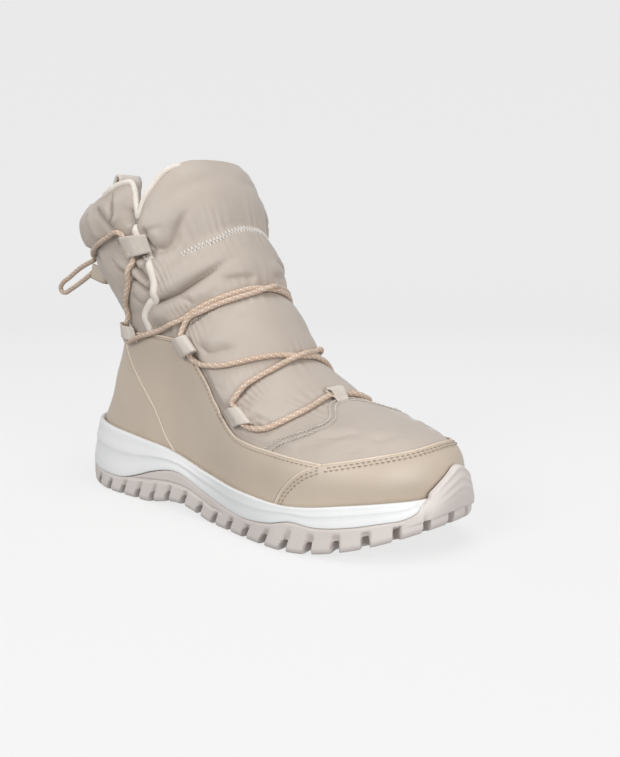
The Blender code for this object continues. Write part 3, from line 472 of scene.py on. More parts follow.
    def clear_of_leather(self, along: Array, level: Array) -> Array:
        """How free the cloth is of the leather.

        Args:
            along: Shares of a ring from the back.
            level: Levels.

        Returns:
            Shares, 0 under the leather and 1 a little way out from its edge.
        """
        edge_along, edge_level = self.leather_table
        foot = slice(self.leather_turn, None, -1)
        front = slice(self.leather_turn, self.leather_corner + 1)
        low = np.interp(along, edge_along[foot], edge_level[foot])
        rise = np.interp(level, edge_level[front], edge_along[front])
        up, forward, top = self.leather_clear
        over = ease((level - low - up) / self.puff_fade_up)
        before = ease((along - rise - forward) / self.puff_fade_forward)
        above = ease((level - edge_level[self.leather_corner] - top) / self.puff_fade_up)
        return over * np.maximum(before, above)

    def skin(self, around: Array, level: Array, lift: Array | float = 0.0) -> Array:
        """A point over the padded upper, at a height above its outer face."""
        out = self.quilting(around, level) + lift
        return self.point(around, level) + self.normal(around, level) * out[..., None]

    def shell(self, around: Array, level: Array, lift: Array | float) -> Array:
        """A point over the smooth form, at a height above it."""
        return self.point(around, level) + self.normal(around, level) * np.asarray(lift, float)[..., None]

    def at_height(self, around: Array, z: Array, lift: float) -> Array:
        """The smooth form's points at heights above the floor, low on its wall.

        Args:
            around: Places around the boot.
            z: The height at each.
            lift: How far the points stand off the form.

        Returns:
            Points, a row each.
        """
        wall = self.shell(around[:, None], WALL_LEVELS[None, :], lift)
        plan = [[np.interp(up, line[:, 2], line[:, axis]) for axis in (0, 1)] for up, line in zip(z, wall)]
        return with_z(np.array(plan), z)


def with_z(plan: Array, z: Array | float) -> Array:
    """Points in plan given a height."""
    return np.concatenate([plan, np.broadcast_to(z, plan.shape[:-1])[..., None]], axis=-1)


@dataclass
class SoleForm:
    """The outline of the sole and the lines of its side."""

    last: Last
    # Half widths by x, outer and inner, and the heights of the rubber's top and the foam's top
    table: Rows = (
        (0.0, 42.0, 38.0, 20.0, 45.0), (22.0, 42.5, 38.0, 13.5, 44.0), (46.0, 43.5, 38.0, 11.5, 42.0),
        (64.0, 44.0, 37.5, 12.0, 40.4), (78.0, 44.0, 36.5, 15.5, 39.0), (93.0, 44.5, 37.0, 20.3, 37.4),
        (117.0, 45.0, 37.5, 24.3, 33.4), (143.0, 47.0, 39.5, 18.0, 29.4), (161.0, 50.0, 43.0, 14.0, 27.6),
        (187.0, 55.0, 48.0, 11.5, 25.8), (207.0, 57.5, 51.5, 14.0, 24.6), (218.0, 57.5, 51.5, 16.6, 24.5),
        (232.0, 57.5, 51.5, 15.6, 25.6), (250.0, 57.5, 51.5, 17.6, 28.2), (266.0, 57.5, 51.5, 20.8, 30.0),
        (282.0, 57.5, 51.5, 22.0, 31.0),
    )
    toe_round_from: float = 205.0
    heel_round_from: float = 58.0
    toe_power: float = 2.1
    heel_power: float = 2.3
    heel_bevel: float = 7.0
    heel_bevel_from: float = 24.0
    arch_lift: float = 5.0
    arch_at: float = 117.0
    arch_reach: float = 36.0
    toe_spring: float = 17.0
    toe_spring_from: float = 214.0
    bumper_top: float = 46.0
    bumper_reach: float = 0.62
    cup_clear: float = 2.8
    # The rubber's wall, its floor over the tread, and the gap between foam and rubber
    rubber_wall: float = 3.2
    tray_rise: float = 9.0
    gap: float = 0.3
    bevel_power: float = 1.6
    spring_power: float = 1.8
    spine_ends: Span = (36.0, 238.0)

    def __post_init__(self) -> None:
        """Spreads places evenly round the outline."""
        self.columns = np.array(self.table).T
        x = self.last.sole_length * (1 + np.cos(np.linspace(0, np.pi, CURVE_STEPS))) / 2
        line = np.stack([x, self.half(np.zeros(x.shape, bool), x)], -1)
        self.spread = respace(line, SPREAD_STEPS - 1)[:, 0]

    def half(self, inner: Array, x: Array) -> Array:
        """Half the sole's width along it.

        Args:
            inner: Whether each place is on the inner side.
            x: Places along the sole.

        Returns:
            The half widths.
        """
        keys, outer_side, inner_side = self.columns[:3]
        wide = np.where(inner, smooth(x, keys, inner_side), smooth(x, keys, outer_side))
        toe = (x - self.toe_round_from) / (self.last.sole_length - self.toe_round_from)
        heel = (self.heel_round_from - x) / self.heel_round_from
        return wide * rounded(toe, self.toe_power) * rounded(heel, self.heel_power)

    def edge(self, around: Array) -> Array:
        """The sole's outline in plan.

        Args:
            around: Places around the sole.

        Returns:
            Points in plan, a row each.
        """
        inner = is_inner(around)
        x = np.interp(turn_of(around), self.last.spread_at, self.spread)
        y = self.last.centre_y(x) + np.where(inner, 1.0, -1.0) * self.half(inner, x)
        return np.stack([x, y], axis=-1)

    def inward(self, around: Array) -> Array:
        """The direction in plan from the outline into the sole."""
        along = unit(self.edge(around + STEP_AROUND) - self.edge(around - STEP_AROUND))
        return np.stack([along[..., 1], -along[..., 0]], axis=-1)

    def outline(self, around: Array, inset: Array | float = 0.0) -> Array:
        """The sole's outline in plan, moved inward by an inset."""
        return self.edge(around) + self.inward(around) * np.asarray(inset, float)[..., None]

    def ground(self, x: Array) -> Array:
        """The height of the tread above the floor: heel bevel, arch and toe spring.

        Args:
            x: Places along the sole.

        Returns:
            Heights, 0 where the sole stands.
        """
        heel = (self.heel_bevel_from - x) / self.heel_bevel_from
        bevel = self.heel_bevel * np.clip(heel, 0, 1) ** self.bevel_power
        arch = self.arch_lift * (1 - ease(np.abs(x - self.arch_at) / self.arch_reach))
        toe = (x - self.toe_spring_from) / (self.last.sole_length - self.toe_spring_from)
        return bevel + arch + self.toe_spring * np.clip(toe, 0, 1) ** self.spring_power

    def bumper(self, around: Array) -> Array:
        """How much of the toe bumper stands at places around the sole.

        Args:
            around: The places.

        Returns:
            Shares, 1 at the tip.
        """
        x = self.edge(around)[..., 0]
        inner = is_inner(around)
        share = self.half(inner, x) / np.where(inner, self.table[-1][2], self.table[-1][1])
        return np.where(x > self.toe_round_from, 1 - ease(share / self.bumper_reach), 0.0)

    def foam_line(self, around: Array) -> Array:
        """The top of the foam."""
        return smooth(self.edge(around)[..., 0], self.columns[0], self.columns[4])

    def rubber_line(self, around: Array) -> Array:
        """The top of the rubber, which rises over the toe."""
        side = smooth(self.edge(around)[..., 0], self.columns[0], self.columns[3])
        return side + (self.bumper_top - self.table[-1][3]) * self.bumper(around)

    def spine(self, plan: Array) -> Array:
        """The middle line of the sole, under each point of a plan.

        Args:
            plan: Points in plan.

        Returns:
            Points of the line in plan, a row each.
        """
        x = np.clip(plan[..., 0], *self.spine_ends)
        sides = [self.half(np.full(x.shape, inner), x) for inner in (False, True)]
        return np.stack([x, self.last.centre_y(x) + (sides[1] - sides[0]) / 2], axis=-1)


# Finishes


def linear(code: str) -> tuple[float, float, float, float]:
    """Blender's colour for an sRGB hex code."""
    parts = [int(code[i : i + 2], 16) / 255 for i in (0, 2, 4)]
    return (*[p / 12.92 if p <= 0.04045 else ((p + 0.055) / 1.055) ** 2.4 for p in parts], 1.0)


class Tree:
    """A material's nodes, added one at a time."""

    def __init__(self, name: str) -> None:
        """Starts a material with one Principled shader.

        Args:
            name: The material's name.
        """
        self.material = bpy.data.materials.new(name)
        self.material.use_nodes = True
        self.nodes = self.material.node_tree.nodes
        self.shader = self.nodes["Principled BSDF"]
        self.coordinates = self.nodes.new("ShaderNodeTexCoord")

    def put(self, node: bpy.types.Node, values: dict[str | int, object]) -> bpy.types.Node:
        """Sets a node's inputs: sockets are linked and other values are set.

        Args:
            node: The node.
            values: Its inputs by name or number.

        Returns:
            The node.
        """
        for key, value in values.items():
            if isinstance(value, Socket):
                self.material.node_tree.links.new(value, node.inputs[key])
            else:
                node.inputs[key].default_value = value
        return node

    def add(self, kind: str, values: dict[str | int, object], **settings: object) -> bpy.types.Node:
        """Adds a shader node.

        Args:
            kind: The node's type, without its ShaderNode prefix.
            values: Its inputs by name or number.
            settings: Its other properties.

        Returns:
            The node.
        """
        node = self.nodes.new("ShaderNode" + kind)
        for key, value in settings.items():
            setattr(node, key, value)
        return self.put(node, values)

    def math(self, operation: str, *values: object) -> Socket:
        """The result of one Math node."""
        return self.add("Math", dict(enumerate(values)), operation=operation).outputs[0]

    def noise(self, size: float, detail: float = 2.0, distort: float = 0.0) -> Socket:
        """Noise over the piece.

        Args:
            size: The size of its patches in millimetres.
            detail: How many finer layers it has.
            distort: How much it is bent.

        Returns:
            A value from 0 to 1.
        """
        values = {
            "Vector": self.coordinates.outputs["Object"],
            "Scale": 1 / (size * MM),
            "Detail": detail,
            "Distortion": distort,
        }
        return self.add("TexNoise", values).outputs[0]

    def uv(self) -> Sockets:
        """The two parts of the piece's own UV map."""
        parts = self.add("SeparateXYZ", {0: self.coordinates.outputs["UV"]})
        return parts.outputs[0], parts.outputs[1]

    def blend(self, share: Socket, first: object, second: object) -> Socket:
        """A mix of two colours."""
        node = self.add("Mix", {0: share, 6: first, 7: second}, data_type="RGBA")
        return node.outputs[2]

    def ramp(self, value: Socket, span: Span, to: Span) -> Socket:
        """A value read from one range into another, held at its ends."""
        return self.add("MapRange", dict(enumerate((value, *span, *to)))).outputs[0]


@dataclass(frozen=True)
class Finish:
    """How one kind of stuff looks: two close colours in soft patches, a fine surface and its gloss.

    Grain and crumple sizes and depths are millimetres.
    """

    name: str
    slot: Slot
    colour: str
    tint: str
    grain: Grain
    grain_size: float
    grain_depth: float
    crumple_size: float = 0.0
    crumple_depth: float = 0.0
    patch: float = 6.0
    roughness: Span = (0.6, 0.7)
    specular: float = 0.3
    sheen: float = 0.0
    coat: float = 0.0
    fleck: str = ""
    # A braid's strands round the cord, one tracer in how many, and how high a strand is where it shows
    strands: float = 9.0
    tracer_every: float = 3.0
    tracer_from: float = 0.35

    def material(self) -> bpy.types.Material:
        """The finish as a material, made once.

        Returns:
            The material.
        """
        if self.name in bpy.data.materials:
            return bpy.data.materials[self.name]
        tree = Tree(self.name)
        patches = tree.ramp(tree.noise(self.patch, detail=3.0), span=(0.35, 0.65), to=(0.0, 1.0))
        colour = tree.blend(patches, linear(self.colour), linear(self.tint))
        height, flecks = self.surface(tree)
        if self.fleck:
            colour = tree.blend(flecks, colour, linear(self.fleck))
        bump = tree.add("Bump", {"Height": height, "Distance": self.grain_depth * MM})
        if self.crumple_depth:
            soft = tree.noise(self.crumple_size, detail=3.0, distort=0.6)
            under = tree.add("Bump", {"Height": soft, "Distance": self.crumple_depth * MM})
            tree.put(bump, {"Normal": under.outputs[0]})
        gloss = tree.ramp(tree.noise(self.patch / 3, detail=4.0), span=(0.3, 0.7), to=self.roughness)
        values = {
            "Base Color": colour,
            "Roughness": gloss,
            "Normal": bump.outputs[0],
            "Specular IOR Level": self.specular,
            "Sheen Weight": self.sheen,
            "Sheen Roughness": 0.4,
            "Coat Weight": self.coat,
            "Coat Roughness": 0.35,
        }
        tree.put(tree.shader, values)
        tree.material.diffuse_color = linear(self.colour)
        return tree.material

    def surface(self, tree: Tree) -> Sockets:
        """The fine surface's height and the share of its flecks.

        Args:
            tree: The material's nodes.

        Returns:
            Two values from 0 to 1.
        """
        if self.grain is Grain.BRAID:
            return self.braid(tree)
        if self.grain in (Grain.WEAVE, Grain.RIB, Grain.TWIST):
            return self.threads(tree)
        fine = tree.noise(self.grain_size, detail=4.0)
        if self.grain is Grain.MOULDED:
            return fine, fine
        values = {"Vector": tree.coordinates.outputs["Object"], "Scale": 1 / (self.grain_size * MM)}
        if self.grain is Grain.HIDE:
            cells = tree.add("TexVoronoi", values, feature="SMOOTH_F1").outputs[0]
            return tree.math("MULTIPLY", cells, fine), fine
        curls = tree.add("TexVoronoi", values, feature="F1").outputs[0]
        return tree.math("SUBTRACT", fine, curls), curls

    def braid(self, tree: Tree) -> Sockets:
        """Two sets of strands round a cord, over and under each other, with pale tracers in one set.

        Args:
            tree: The material's nodes.

        Returns:
            The height and the share of flecks.
        """
        turn, run = tree.uv()
        across = tree.math("MULTIPLY", turn, self.strands)
        climb = tree.math("DIVIDE", run, self.grain_size * MM)
        first = tree.math("ADD", across, climb)
        second = tree.math("SUBTRACT", across, climb)
        ridges = [
            tree.math("ABSOLUTE", tree.math("SINE", tree.math("MULTIPLY", strand, math.pi)))
            for strand in (first, second)
        ]
        cells = tree.math("ADD", tree.math("FLOOR", first), tree.math("FLOOR", second))
        over = tree.math("FLOORED_MODULO", cells, 2.0)
        gap = tree.math("SUBTRACT", ridges[0], ridges[1])
        height = tree.math("MULTIPLY_ADD", gap, over, ridges[1])
        count = tree.math("FLOORED_MODULO", tree.math("FLOOR", first), self.tracer_every)
        fleck = tree.math("MULTIPLY", tree.math("LESS_THAN", count, 0.5), over)
        return height, tree.math("MULTIPLY", fleck, tree.math("GREATER_THAN", ridges[0], self.tracer_from))

    def threads(self, tree: Tree) -> Sockets:
        """A plain weave, the ribs along a strap or the turns of a thread, over the piece's UV map.

        Args:
            tree: The material's nodes.

        Returns:
            The height and the share of flecks.
        """
        turns = 2 * math.pi / (self.grain_size * MM)
        waves = [tree.math("SINE", tree.math("MULTIPLY", part, turns)) for part in tree.uv()]
        if self.grain is Grain.WEAVE:
            wave = tree.math("MULTIPLY", *waves)
        else:
            wave = waves[1 if self.grain is Grain.TWIST else 0]
        height = tree.math("MULTIPLY_ADD", wave, 0.5, 0.5)
        return height, height


NYLON = Finish("padded_nylon", Slot.NYLON, "BFB3A8", "B8ACA1", Grain.WEAVE, 0.7, 0.02, 9.0, 0.4, 46.0,
               (0.46, 0.56), 0.45, 0.25)
LEATHER = Finish("smooth_leather", Slot.LEATHER, "C8B9A8", "C2B3A2", Grain.HIDE, 0.9, 0.07, 14.0, 0.12, 38.0,
                 (0.4, 0.5), 0.45, 0.0, 0.08)
FOAM = Finish("moulded_foam", Slot.FOAM, "F1F2F1", "EBECEC", Grain.MOULDED, 0.7, 0.03, 20.0, 0.08, 50.0,
              (0.52, 0.62), 0.4)
RUBBER = Finish("tread_rubber", Slot.RUBBER, "DBD3CE", "D5CCC7", Grain.MOULDED, 0.5, 0.05, 16.0, 0.06, 34.0,
                (0.58, 0.7), 0.35)
FLEECE = Finish("cream_fleece", Slot.FLEECE, "EDE6DC", "E2D9CC", Grain.PILE, 1.5, 0.8, 7.0, 0.6, 18.0,
                (0.85, 0.95), 0.15, 0.5)
BINDING = Finish("cream_binding", Slot.FLEECE, "EEE7DE", "E6DDD2", Grain.PILE, 0.7, 0.2, 5.0, 0.15, 14.0,
                 (0.85, 0.95), 0.15, 0.5)
CORD = Finish("braided_cord", Slot.CORD, "D6BDA8", "CEB39C", Grain.BRAID, 1.4, 0.14, 0.0, 0.0, 12.0,
              (0.55, 0.65), 0.35, 0.1, 0.0, "F3EADF")
WEBBING = Finish("keeper_webbing", Slot.WEBBING, "D9D0C6", "D1C7BC", Grain.RIB, 0.8, 0.05, 5.0, 0.05, 10.0,
                 (0.6, 0.7), 0.3, 0.15)
LOOP = replace(WEBBING, name="loop_webbing", slot=Slot.LEATHER, colour="DAD2CA", tint="D2C9C0",
               grain_size=1.2, grain_depth=0.06)
# Paler than the leather: the cut edge's own tone with a painted highlight along the edge
EDGE_WITH_HIGHLIGHT = Finish("raw_edge", Slot.LEATHER, "E5D6C6", "DDCCBA", Grain.MOULDED, 0.6, 0.04, patch=10.0)
THREAD = Finish("pale_thread", Slot.NYLON, "DCD4CA", "D3CABF", Grain.TWIST, 0.5, 0.05,
                roughness=(0.5, 0.6), specular=0.4, sheen=0.1)
WHITE_THREAD = replace(THREAD, name="white_thread", colour="F2EEE8", tint="EBE6DF")
TAN_THREAD = Finish("tan_thread", Slot.LEATHER, "B9A895", "B09F8C", Grain.TWIST, 0.5, 0.05)
# Dark thread for the rows right under the cords: its darkness is painted shadow of the cords
CORD_SHADOW_THREAD = Finish("shaded_thread", Slot.NYLON, "A09184", "978879", Grain.TWIST, 0.5, 0.05)


# Shapes


def lay_grid(columns: int, rows: int, place: Place, ring: bool = False, loop: bool = False) -> Mesh:
    """A grid of quads laid on a surface.

    Args:
        columns: Faces across it.
        rows: Faces up it.
        place: Gives points from shares across and up.
        ring: Whether its two sides meet.
        loop: Whether its first and last rows meet.

    Returns:
        The mesh, in millimetres, with shares as its UV map.
    """
    bm = bmesh.new()
    bm.loops.layers.uv.new("surface")
    bmesh.ops.create_grid(bm, x_segments=columns, y_segments=rows, size=0.5, calc_uvs=True)
    verts = list(bm.verts)
    shares = np.array([v.co[:2] for v in verts]) + 0.5
    for axis, closed in enumerate((ring, loop)):
        if closed:
            shares[:, axis] = np.where(shares[:, axis] > 1 - MERGE, 0.0, shares[:, axis])
    for vert, point in zip(verts, place(shares[:, 0], shares[:, 1])):
        vert.co = Vector(point)
    if ring or loop:
        bmesh.ops.remove_doubles(bm, verts=bm.verts, dist=MERGE)
    return bm


def sweep(points: Array, outs: Array, wide: float, high: float, sides: int, ring: bool = False) -> Mesh:
    """A tube of an oval section along a line.

    Args:
        points: The line, one row for each section.
        outs: The way out from the boot at each section.
        wide: Width of the section across the line.
        high: Its height along outs.
        sides: Faces round the section.
        ring: Whether the line closes on itself.

    Returns:
        The tube, closed at its ends, with its length in metres up its UV map.
    """
    along = np.roll(points, -1, 0) - np.roll(points, 1, 0) if ring else np.gradient(points, axis=0)
    across = unit(np.cross(along, outs))
    up = unit(np.cross(across, along))
    count = len(points) if ring else len(points) - 1

    def place(turn: Array, share: Array) -> Array:
        """Points of the tube's skin.

        Args:
            turn: Shares of the way round it.
            share: Shares of its length.

        Returns:
            Points, a row each.
        """
        i = np.rint(share * count).astype(int) % len(points)
        angle = turn * 2 * np.pi
        side = across[i] * (wide / 2 * np.cos(angle))[:, None]
        return points[i] + side + up[i] * (high / 2 * np.sin(angle))[:, None]

    bm = lay_grid(sides, count, place, ring=True, loop=ring)
    stretch_uv(bm, 1.0, run_lengths(points)[-1] * MM)
    if not ring:
        bmesh.ops.holes_fill(bm, edges=[e for e in bm.edges if e.is_boundary])
    bmesh.ops.recalc_face_normals(bm, faces=bm.faces)
    return bm


def stretch_uv(bm: Mesh, across: float, up: float) -> None:
    """Gives a mesh's UV map a size.

    Args:
        bm: The mesh.
        across: The map's size across, in metres.
        up: Its size up.
    """
    layer = bm.loops.layers.uv.active
    for face in bm.faces:
        for corner in face.loops:
            u, v = corner[layer].uv
            corner[layer].uv = (u * across, v * up)


def add_piece(name: str, bm: Mesh, finish: Finish, *stands_for: str) -> Piece:
    """Makes a piece of the boot from a mesh in millimetres, riding on its one body.

    Args:
        name: The piece's name.
        bm: Its mesh, which is used up.
        finish: Its finish.
        stands_for: The model's nodes that it replaces.

    Returns:
        The piece.
    """
    bmesh.ops.translate(bm, vec=Vector(SHIFT), verts=bm.verts)
    bmesh.ops.scale(bm, vec=(MM, MM, MM), verts=bm.verts)
    mesh = bpy.data.meshes.new(name)
    bm.to_mesh(mesh)
    bm.free()
    mesh.shade_smooth()
    return dress(bpy.data.objects.new(name, mesh), finish, *stands_for)


def dress(piece: Piece, finish: Finish, *stands_for: str) -> Piece:
    """Links a piece, gives it its finish and hides the model's parts that it stands for.

    Args:
        piece: The new object.
        finish: Its finish.
        stands_for: The model's nodes that it replaces.

    Returns:
        The piece.
    """
    bpy.context.scene.collection.objects.link(piece)
    piece.data.materials.append(finish.material())
    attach(piece, BODY)
    if stands_for:
        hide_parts(*stands_for)
    LOG.info("%s: %d faces, %s", piece.name, len(piece.data.polygons), finish.name)
    return piece


def thicken(piece: Piece, thickness: float) -> Piece:
    """Gives a sheet its thickness, inward from its face.

    Args:
        piece: The sheet.
        thickness: Its thickness in millimetres.

    Returns:
        The piece.
    """
    wall = piece.modifiers.new("wall", "SOLIDIFY")
    wall.thickness = thickness * MM
    wall.offset = -1.0
    return piece


def sew(name: str, starts: Array, ends: Array, outs: Array, thick: float, finish: Finish) -> None:
    """Many stitches as one joined mesh.

    Args:
        name: The piece's name.
        starts: Where each stitch comes up.
        ends: Where it goes down.
        outs: The way out from the boot at each.
        thick: The thread's thickness.
        finish: The thread's finish.
    """
    bead = bmesh.new()
    bmesh.ops.create_uvsphere(bead, u_segments=6, v_segments=5, radius=1.0)
    shape = np.array([v.co for v in bead.verts])
    faces = [[v.index for v in f.verts] for f in bead.faces]
    bead.free()
    along = unit(ends - starts)
    half = np.linalg.norm(ends - starts, axis=1) / 2 + thick / 4
    side = unit(np.cross(outs, along))
    up = np.cross(along, side)
    parts = (side * thick / 2, up * thick / 2, along * half[:, None])
    middle = (starts + ends) / 2 + outs * thick * 0.2
    points = middle[:, None] + sum(shape[None, :, i, None] * part[:, None] for i, part in enumerate(parts))
    points = (points.reshape(-1, 3) + SHIFT) * MM
    mesh = bpy.data.meshes.new(name)
    joined = [[v + i * len(shape) for v in face] for i in range(len(starts)) for face in faces]
    mesh.from_pydata(points.tolist(), [], joined)
    mesh.uv_layers.new(name="surface")
    mesh.shade_smooth()
    dress(bpy.data.objects.new(name, mesh), finish)


# The upper


@dataclass(frozen=True)
class Crease:
    """A fold of the padded cloth: a trough along a line with a ridge on its upper side.

    The line runs from the back forward as along and level. Sizes are millimetres: drop is how far the ridge
    hangs over the trough and cut is the depth of the sharp line in it. Ends are the shares of its length over
    which it fades in and out. The ridge and the lip that hangs over are placed and sized in trough widths.
    """

    line: Rows
    depth: float
    width: float
    ridge: float = 0.0
    drop: float = 0.0
    cut: float = 0.0
    ends: Span = (0.25, 0.35)
    cut_wide: float = 0.9
    spread: float = 5.0
    trough_power: float = 1.7
    ridge_form: Span = (1.9, 1.5)
    lip_form: Span = (1.1, 0.9)

    def relief(self, line: Array, outs: Array, sign: float, points: Array) -> tuple[Array, Array]:
        """What the fold does to points of the cloth.

        Args:
            line: The fold's line on the boot.
            outs: The way out from the boot along it.
            sign: The sign of the side that it is on.
            points: Points of the cloth.

        Returns:
            The height that it adds at each point, and the way that the point slides.
        """
        height = np.zeros(len(points))
        slide = np.zeros(points.shape)
        near = beside(points, line, self.spread * self.width)
        off, share, across, _ = nearest(points[near], line, outs)
        off = off * sign
        fade = ease(share / self.ends[0]) * ease((1 - share) / self.ends[1])
        trough = self.depth * np.exp(-(np.abs(off / self.width) ** self.trough_power))
        cut = self.cut * np.exp(-((off / self.cut_wide) ** 2))
        ridge, lip = (
            np.exp(-(((off - at * self.width) / (wide * self.width)) ** 2))
            for at, wide in (self.ridge_form, self.lip_form)
        )
        height[near] = fade * (self.ridge * ridge - trough - cut)
        slide[near] = -sign * across * (fade * self.drop * lip)[:, None]
        return height, slide


def beside(points: Array, line: Array, reach: float) -> Array:
    """Which points lie in a line's box, widened by a reach."""
    return np.all((points > line.min(axis=0) - reach) & (points < line.max(axis=0) + reach), axis=-1)


def nearest(points: Array, line: Array, outs: Array) -> tuple[Array, Array, Array, Array]:
    """Where points lie beside a line on the boot.

    Args:
        points: The points.
        line: The line's points, in order.
        outs: The way out from the boot at each of them.

    Returns:
        The distance, positive to the left of the line; the share of its length; the direction to its left;
        and the way from the line to the point.
    """
    best = np.full(len(points), np.inf)
    off = np.zeros(len(points))
    share = np.zeros(len(points))
    left = np.zeros((len(points), 3))
    way = np.zeros((len(points), 3))
    runs = run_lengths(line)
    for i in range(len(line) - 1):
        step = line[i + 1] - line[i]
        t = np.clip((points - line[i]) @ step / (step @ step), 0, 1)
        gap = points - line[i] - t[:, None] * step
        reach = np.linalg.norm(gap, axis=1)
        near = reach < best
        across = unit(np.cross(outs[i], step))
        best = np.where(near, reach, best)
        off = np.where(near, np.where(gap @ across < 0, -reach, reach), off)
        share = np.where(near, (runs[i] + t * (runs[i + 1] - runs[i])) / runs[-1], share)
        left[near] = across
        way[near] = gap[near]
    return off, share, left, way


# The deepest fold, under the collar keeper and across the front panel
MAIN_FOLD: Rows = (
    (0.582, 10.79), (0.732, 11.12), (0.851, 11.55), (0.934, 11.87), (0.967, 12.02), (0.984, 12.08),
)


@dataclass
class Upper:
    """The padded upper: cloth outside, pile lining inside and a rolled collar edge."""

    last: Last
    columns: int = 384
    outer_rows: int = 206
    rim_rows: int = 4
    inner_rows: int = 20
    cloth: float = 1.6
    lining_from: float = 1.9
    lining_to: float = 4.4
    # The outer rows that the leather hides, as a share of them, and the level that they reach
    hidden_rows: Span = (0.06, 2.2)
    # The collar's rolled edge: where along it sinks at front and rear, how far, and how often it is smoothed
    roll: float = 3.6
    roll_columns: int = 360
    roll_front: Span = (0.86, 0.1)
    roll_rear: Span = (0.36, 0.14)
    roll_sink: Point = (0.7, 1.0, 2.2)
    roll_rise: Span = (1.3, 3.0)
    roll_passes: int = 4
    floor: float = -3.2
    # The folds of the front panel, the gusset and the gathered cuff
    folds: tuple[Crease, ...] = (
        Crease(MAIN_FOLD, 3.4, 2.0, 2.6, 2.0, 3.4, (0.02, 0.55), 0.8),
        Crease(MAIN_FOLD, 2.4, 6.0, 2.6, 0.0, 0.0, (0.1, 0.6), 0.9, 4.0),
        Crease(((0.918, 11.46), (0.957, 11.5), (0.983, 11.52), (0.998, 11.5)), 1.6, 2.6, 0.9, 1.0, 0.5),
        Crease(((0.746, 12.55), (0.786, 12.55), (0.823, 12.64), (0.871, 13.0), (0.905, 13.3), (0.941, 13.45)),
               2.6, 3.4, 1.8, 1.0, 0.9, (0.1, 0.5)),
        Crease(((0.742, 13.82), (0.75, 13.3), (0.746, 12.85), (0.74, 12.6), (0.766, 12.58)),
               2.2, 2.4, 1.0, 0.6, 0.8),
        Crease(((0.528, 12.98), (0.557, 12.36), (0.584, 11.95), (0.609, 11.57)), 4.0, 2.0, 2.8, 1.4, 2.6,
               (0.15, 0.05)),
        Crease(((0.392, 12.45), (0.472, 11.93), (0.532, 11.57), (0.572, 11.22)), 3.8, 2.0, 2.8, 1.4, 2.4,
               (0.3, 0.05)),
        Crease(((0.408, 11.09), (0.439, 10.73), (0.46, 10.34)), 1.4, 2.8, 0.8, 0.0, 0.4),
        Crease(((0.412, 14.64), (0.46, 14.25), (0.495, 13.93), (0.526, 13.28)), 4.2, 2.8, 2.2, 1.0, 1.4,
               (0.3, 0.1)),
        Crease(((0.532, 14.91), (0.555, 14.4), (0.563, 13.99), (0.53, 13.24)), 2.6, 1.8, 1.6, 0.4, 1.2,
               (0.1, 0.2)),
        Crease(((0.66, 14.3), (0.648, 13.7), (0.63, 13.24)), 1.8, 1.8, 0.8, 0.0, 0.8),
        Crease(((0.3, 14.7), (0.33, 14.1), (0.35, 13.5), (0.35, 12.9)), 4.2, 3.0, 2.0, 0.6, 1.0, (0.35, 0.1)),
        Crease(((0.17, 14.8), (0.18, 14.1), (0.17, 13.5), (0.16, 12.9)), 4.0, 3.0, 1.8, 0.0, 1.0,
               (0.35, 0.1)),
        Crease(((0.05, 14.6), (0.05, 14.0), (0.045, 13.5), (0.045, 12.9)), 2.4, 3.2, 1.0, 0.0, 0.6,
               (0.35, 0.1)),
        Crease(((0.24, 12.6), (0.25, 12.1), (0.28, 11.5), (0.33, 10.9)), 2.2, 3.4, 1.0, 0.0, 0.5,
               (0.05, 0.5)),
        Crease(((0.1, 12.6), (0.11, 12.0), (0.14, 11.4)), 2.2, 3.2, 1.0, 0.0, 0.5, (0.05, 0.5)),
        Crease(((0.718, 9.16), (0.746, 8.67), (0.819, 8.78), (0.901, 8.91)), 1.5, 3.6, 1.0, 0.6, 0.4),
        Crease(((0.724, 9.7), (0.849, 9.87), (0.947, 10.39)), 0.9, 3.6, 0.6, 0.0, 0.2),
        Crease(((0.693, 4.74), (0.73, 4.95), (0.768, 5.19)), 1.3, 3.0, 0.8, 0.0, 0.4),
        Crease(((0.847, 2.92), (0.888, 3.26), (0.913, 3.54)), 1.2, 3.2, 0.7, 0.0, 0.3),
        Crease(((0.76, 3.02), (0.8, 3.35), (0.85, 3.62)), 0.9, 3.2, 0.6, 0.0, 0.2),
        Crease(((0.87, 4.15), (0.91, 4.32), (0.95, 4.6)), 0.8, 2.8, 0.5, 0.0, 0.2),
        Crease(((0.8, 3.8), (0.85, 4.02), (0.9, 4.1)), 0.8, 2.6, 0.5, 0.0, 0.2),
        Crease(((0.93, 3.95), (0.96, 4.1), (0.99, 4.45)), 0.7, 2.8, 0.4, 0.0, 0.2),
        Crease(((0.82, 14.2), (0.87, 14.05), (0.93, 14.15), (1.0, 14.35)), 0.9, 5.0, 0.6),
    )
    # Fine wrinkles: how many on a side, and the ranges of along, level, length, climb, bend and depth
    wrinkles: int = 44
    wrinkle_low: tuple[float, ...] = (0.5, 4.5, 0.04, -0.4, -0.12, 0.2)
    wrinkle_high: tuple[float, ...] = (0.95, 14.3, 0.13, 0.4, 0.12, 0.6)
    wrinkle_width: float = 1.9
    wrinkle_ridge: float = 0.6
    wrinkle_cut: float = 0.3
    wrinkle_ends: Span = (0.45, 0.45)
    wrinkle_stop: float = 0.99
    seed: int = 7
    # The front panel's rear edge, from the leather to the notch, and how it stands over the gusset behind it
    panel_edge: Rows = (
        (0.425, 9.35), (0.456, 9.94), (0.532, 10.6), (0.613, 11.14), (0.646, 11.59), (0.661, 12.02),
        (0.69, 12.58), (0.703, 13.18), (0.694, 14.1), (0.682, 14.95),
    )
    panel_stands: float = 3.0
    panel_slope: float = 11.0
    panel_drop: float = 1.3
    panel_start: float = 0.1
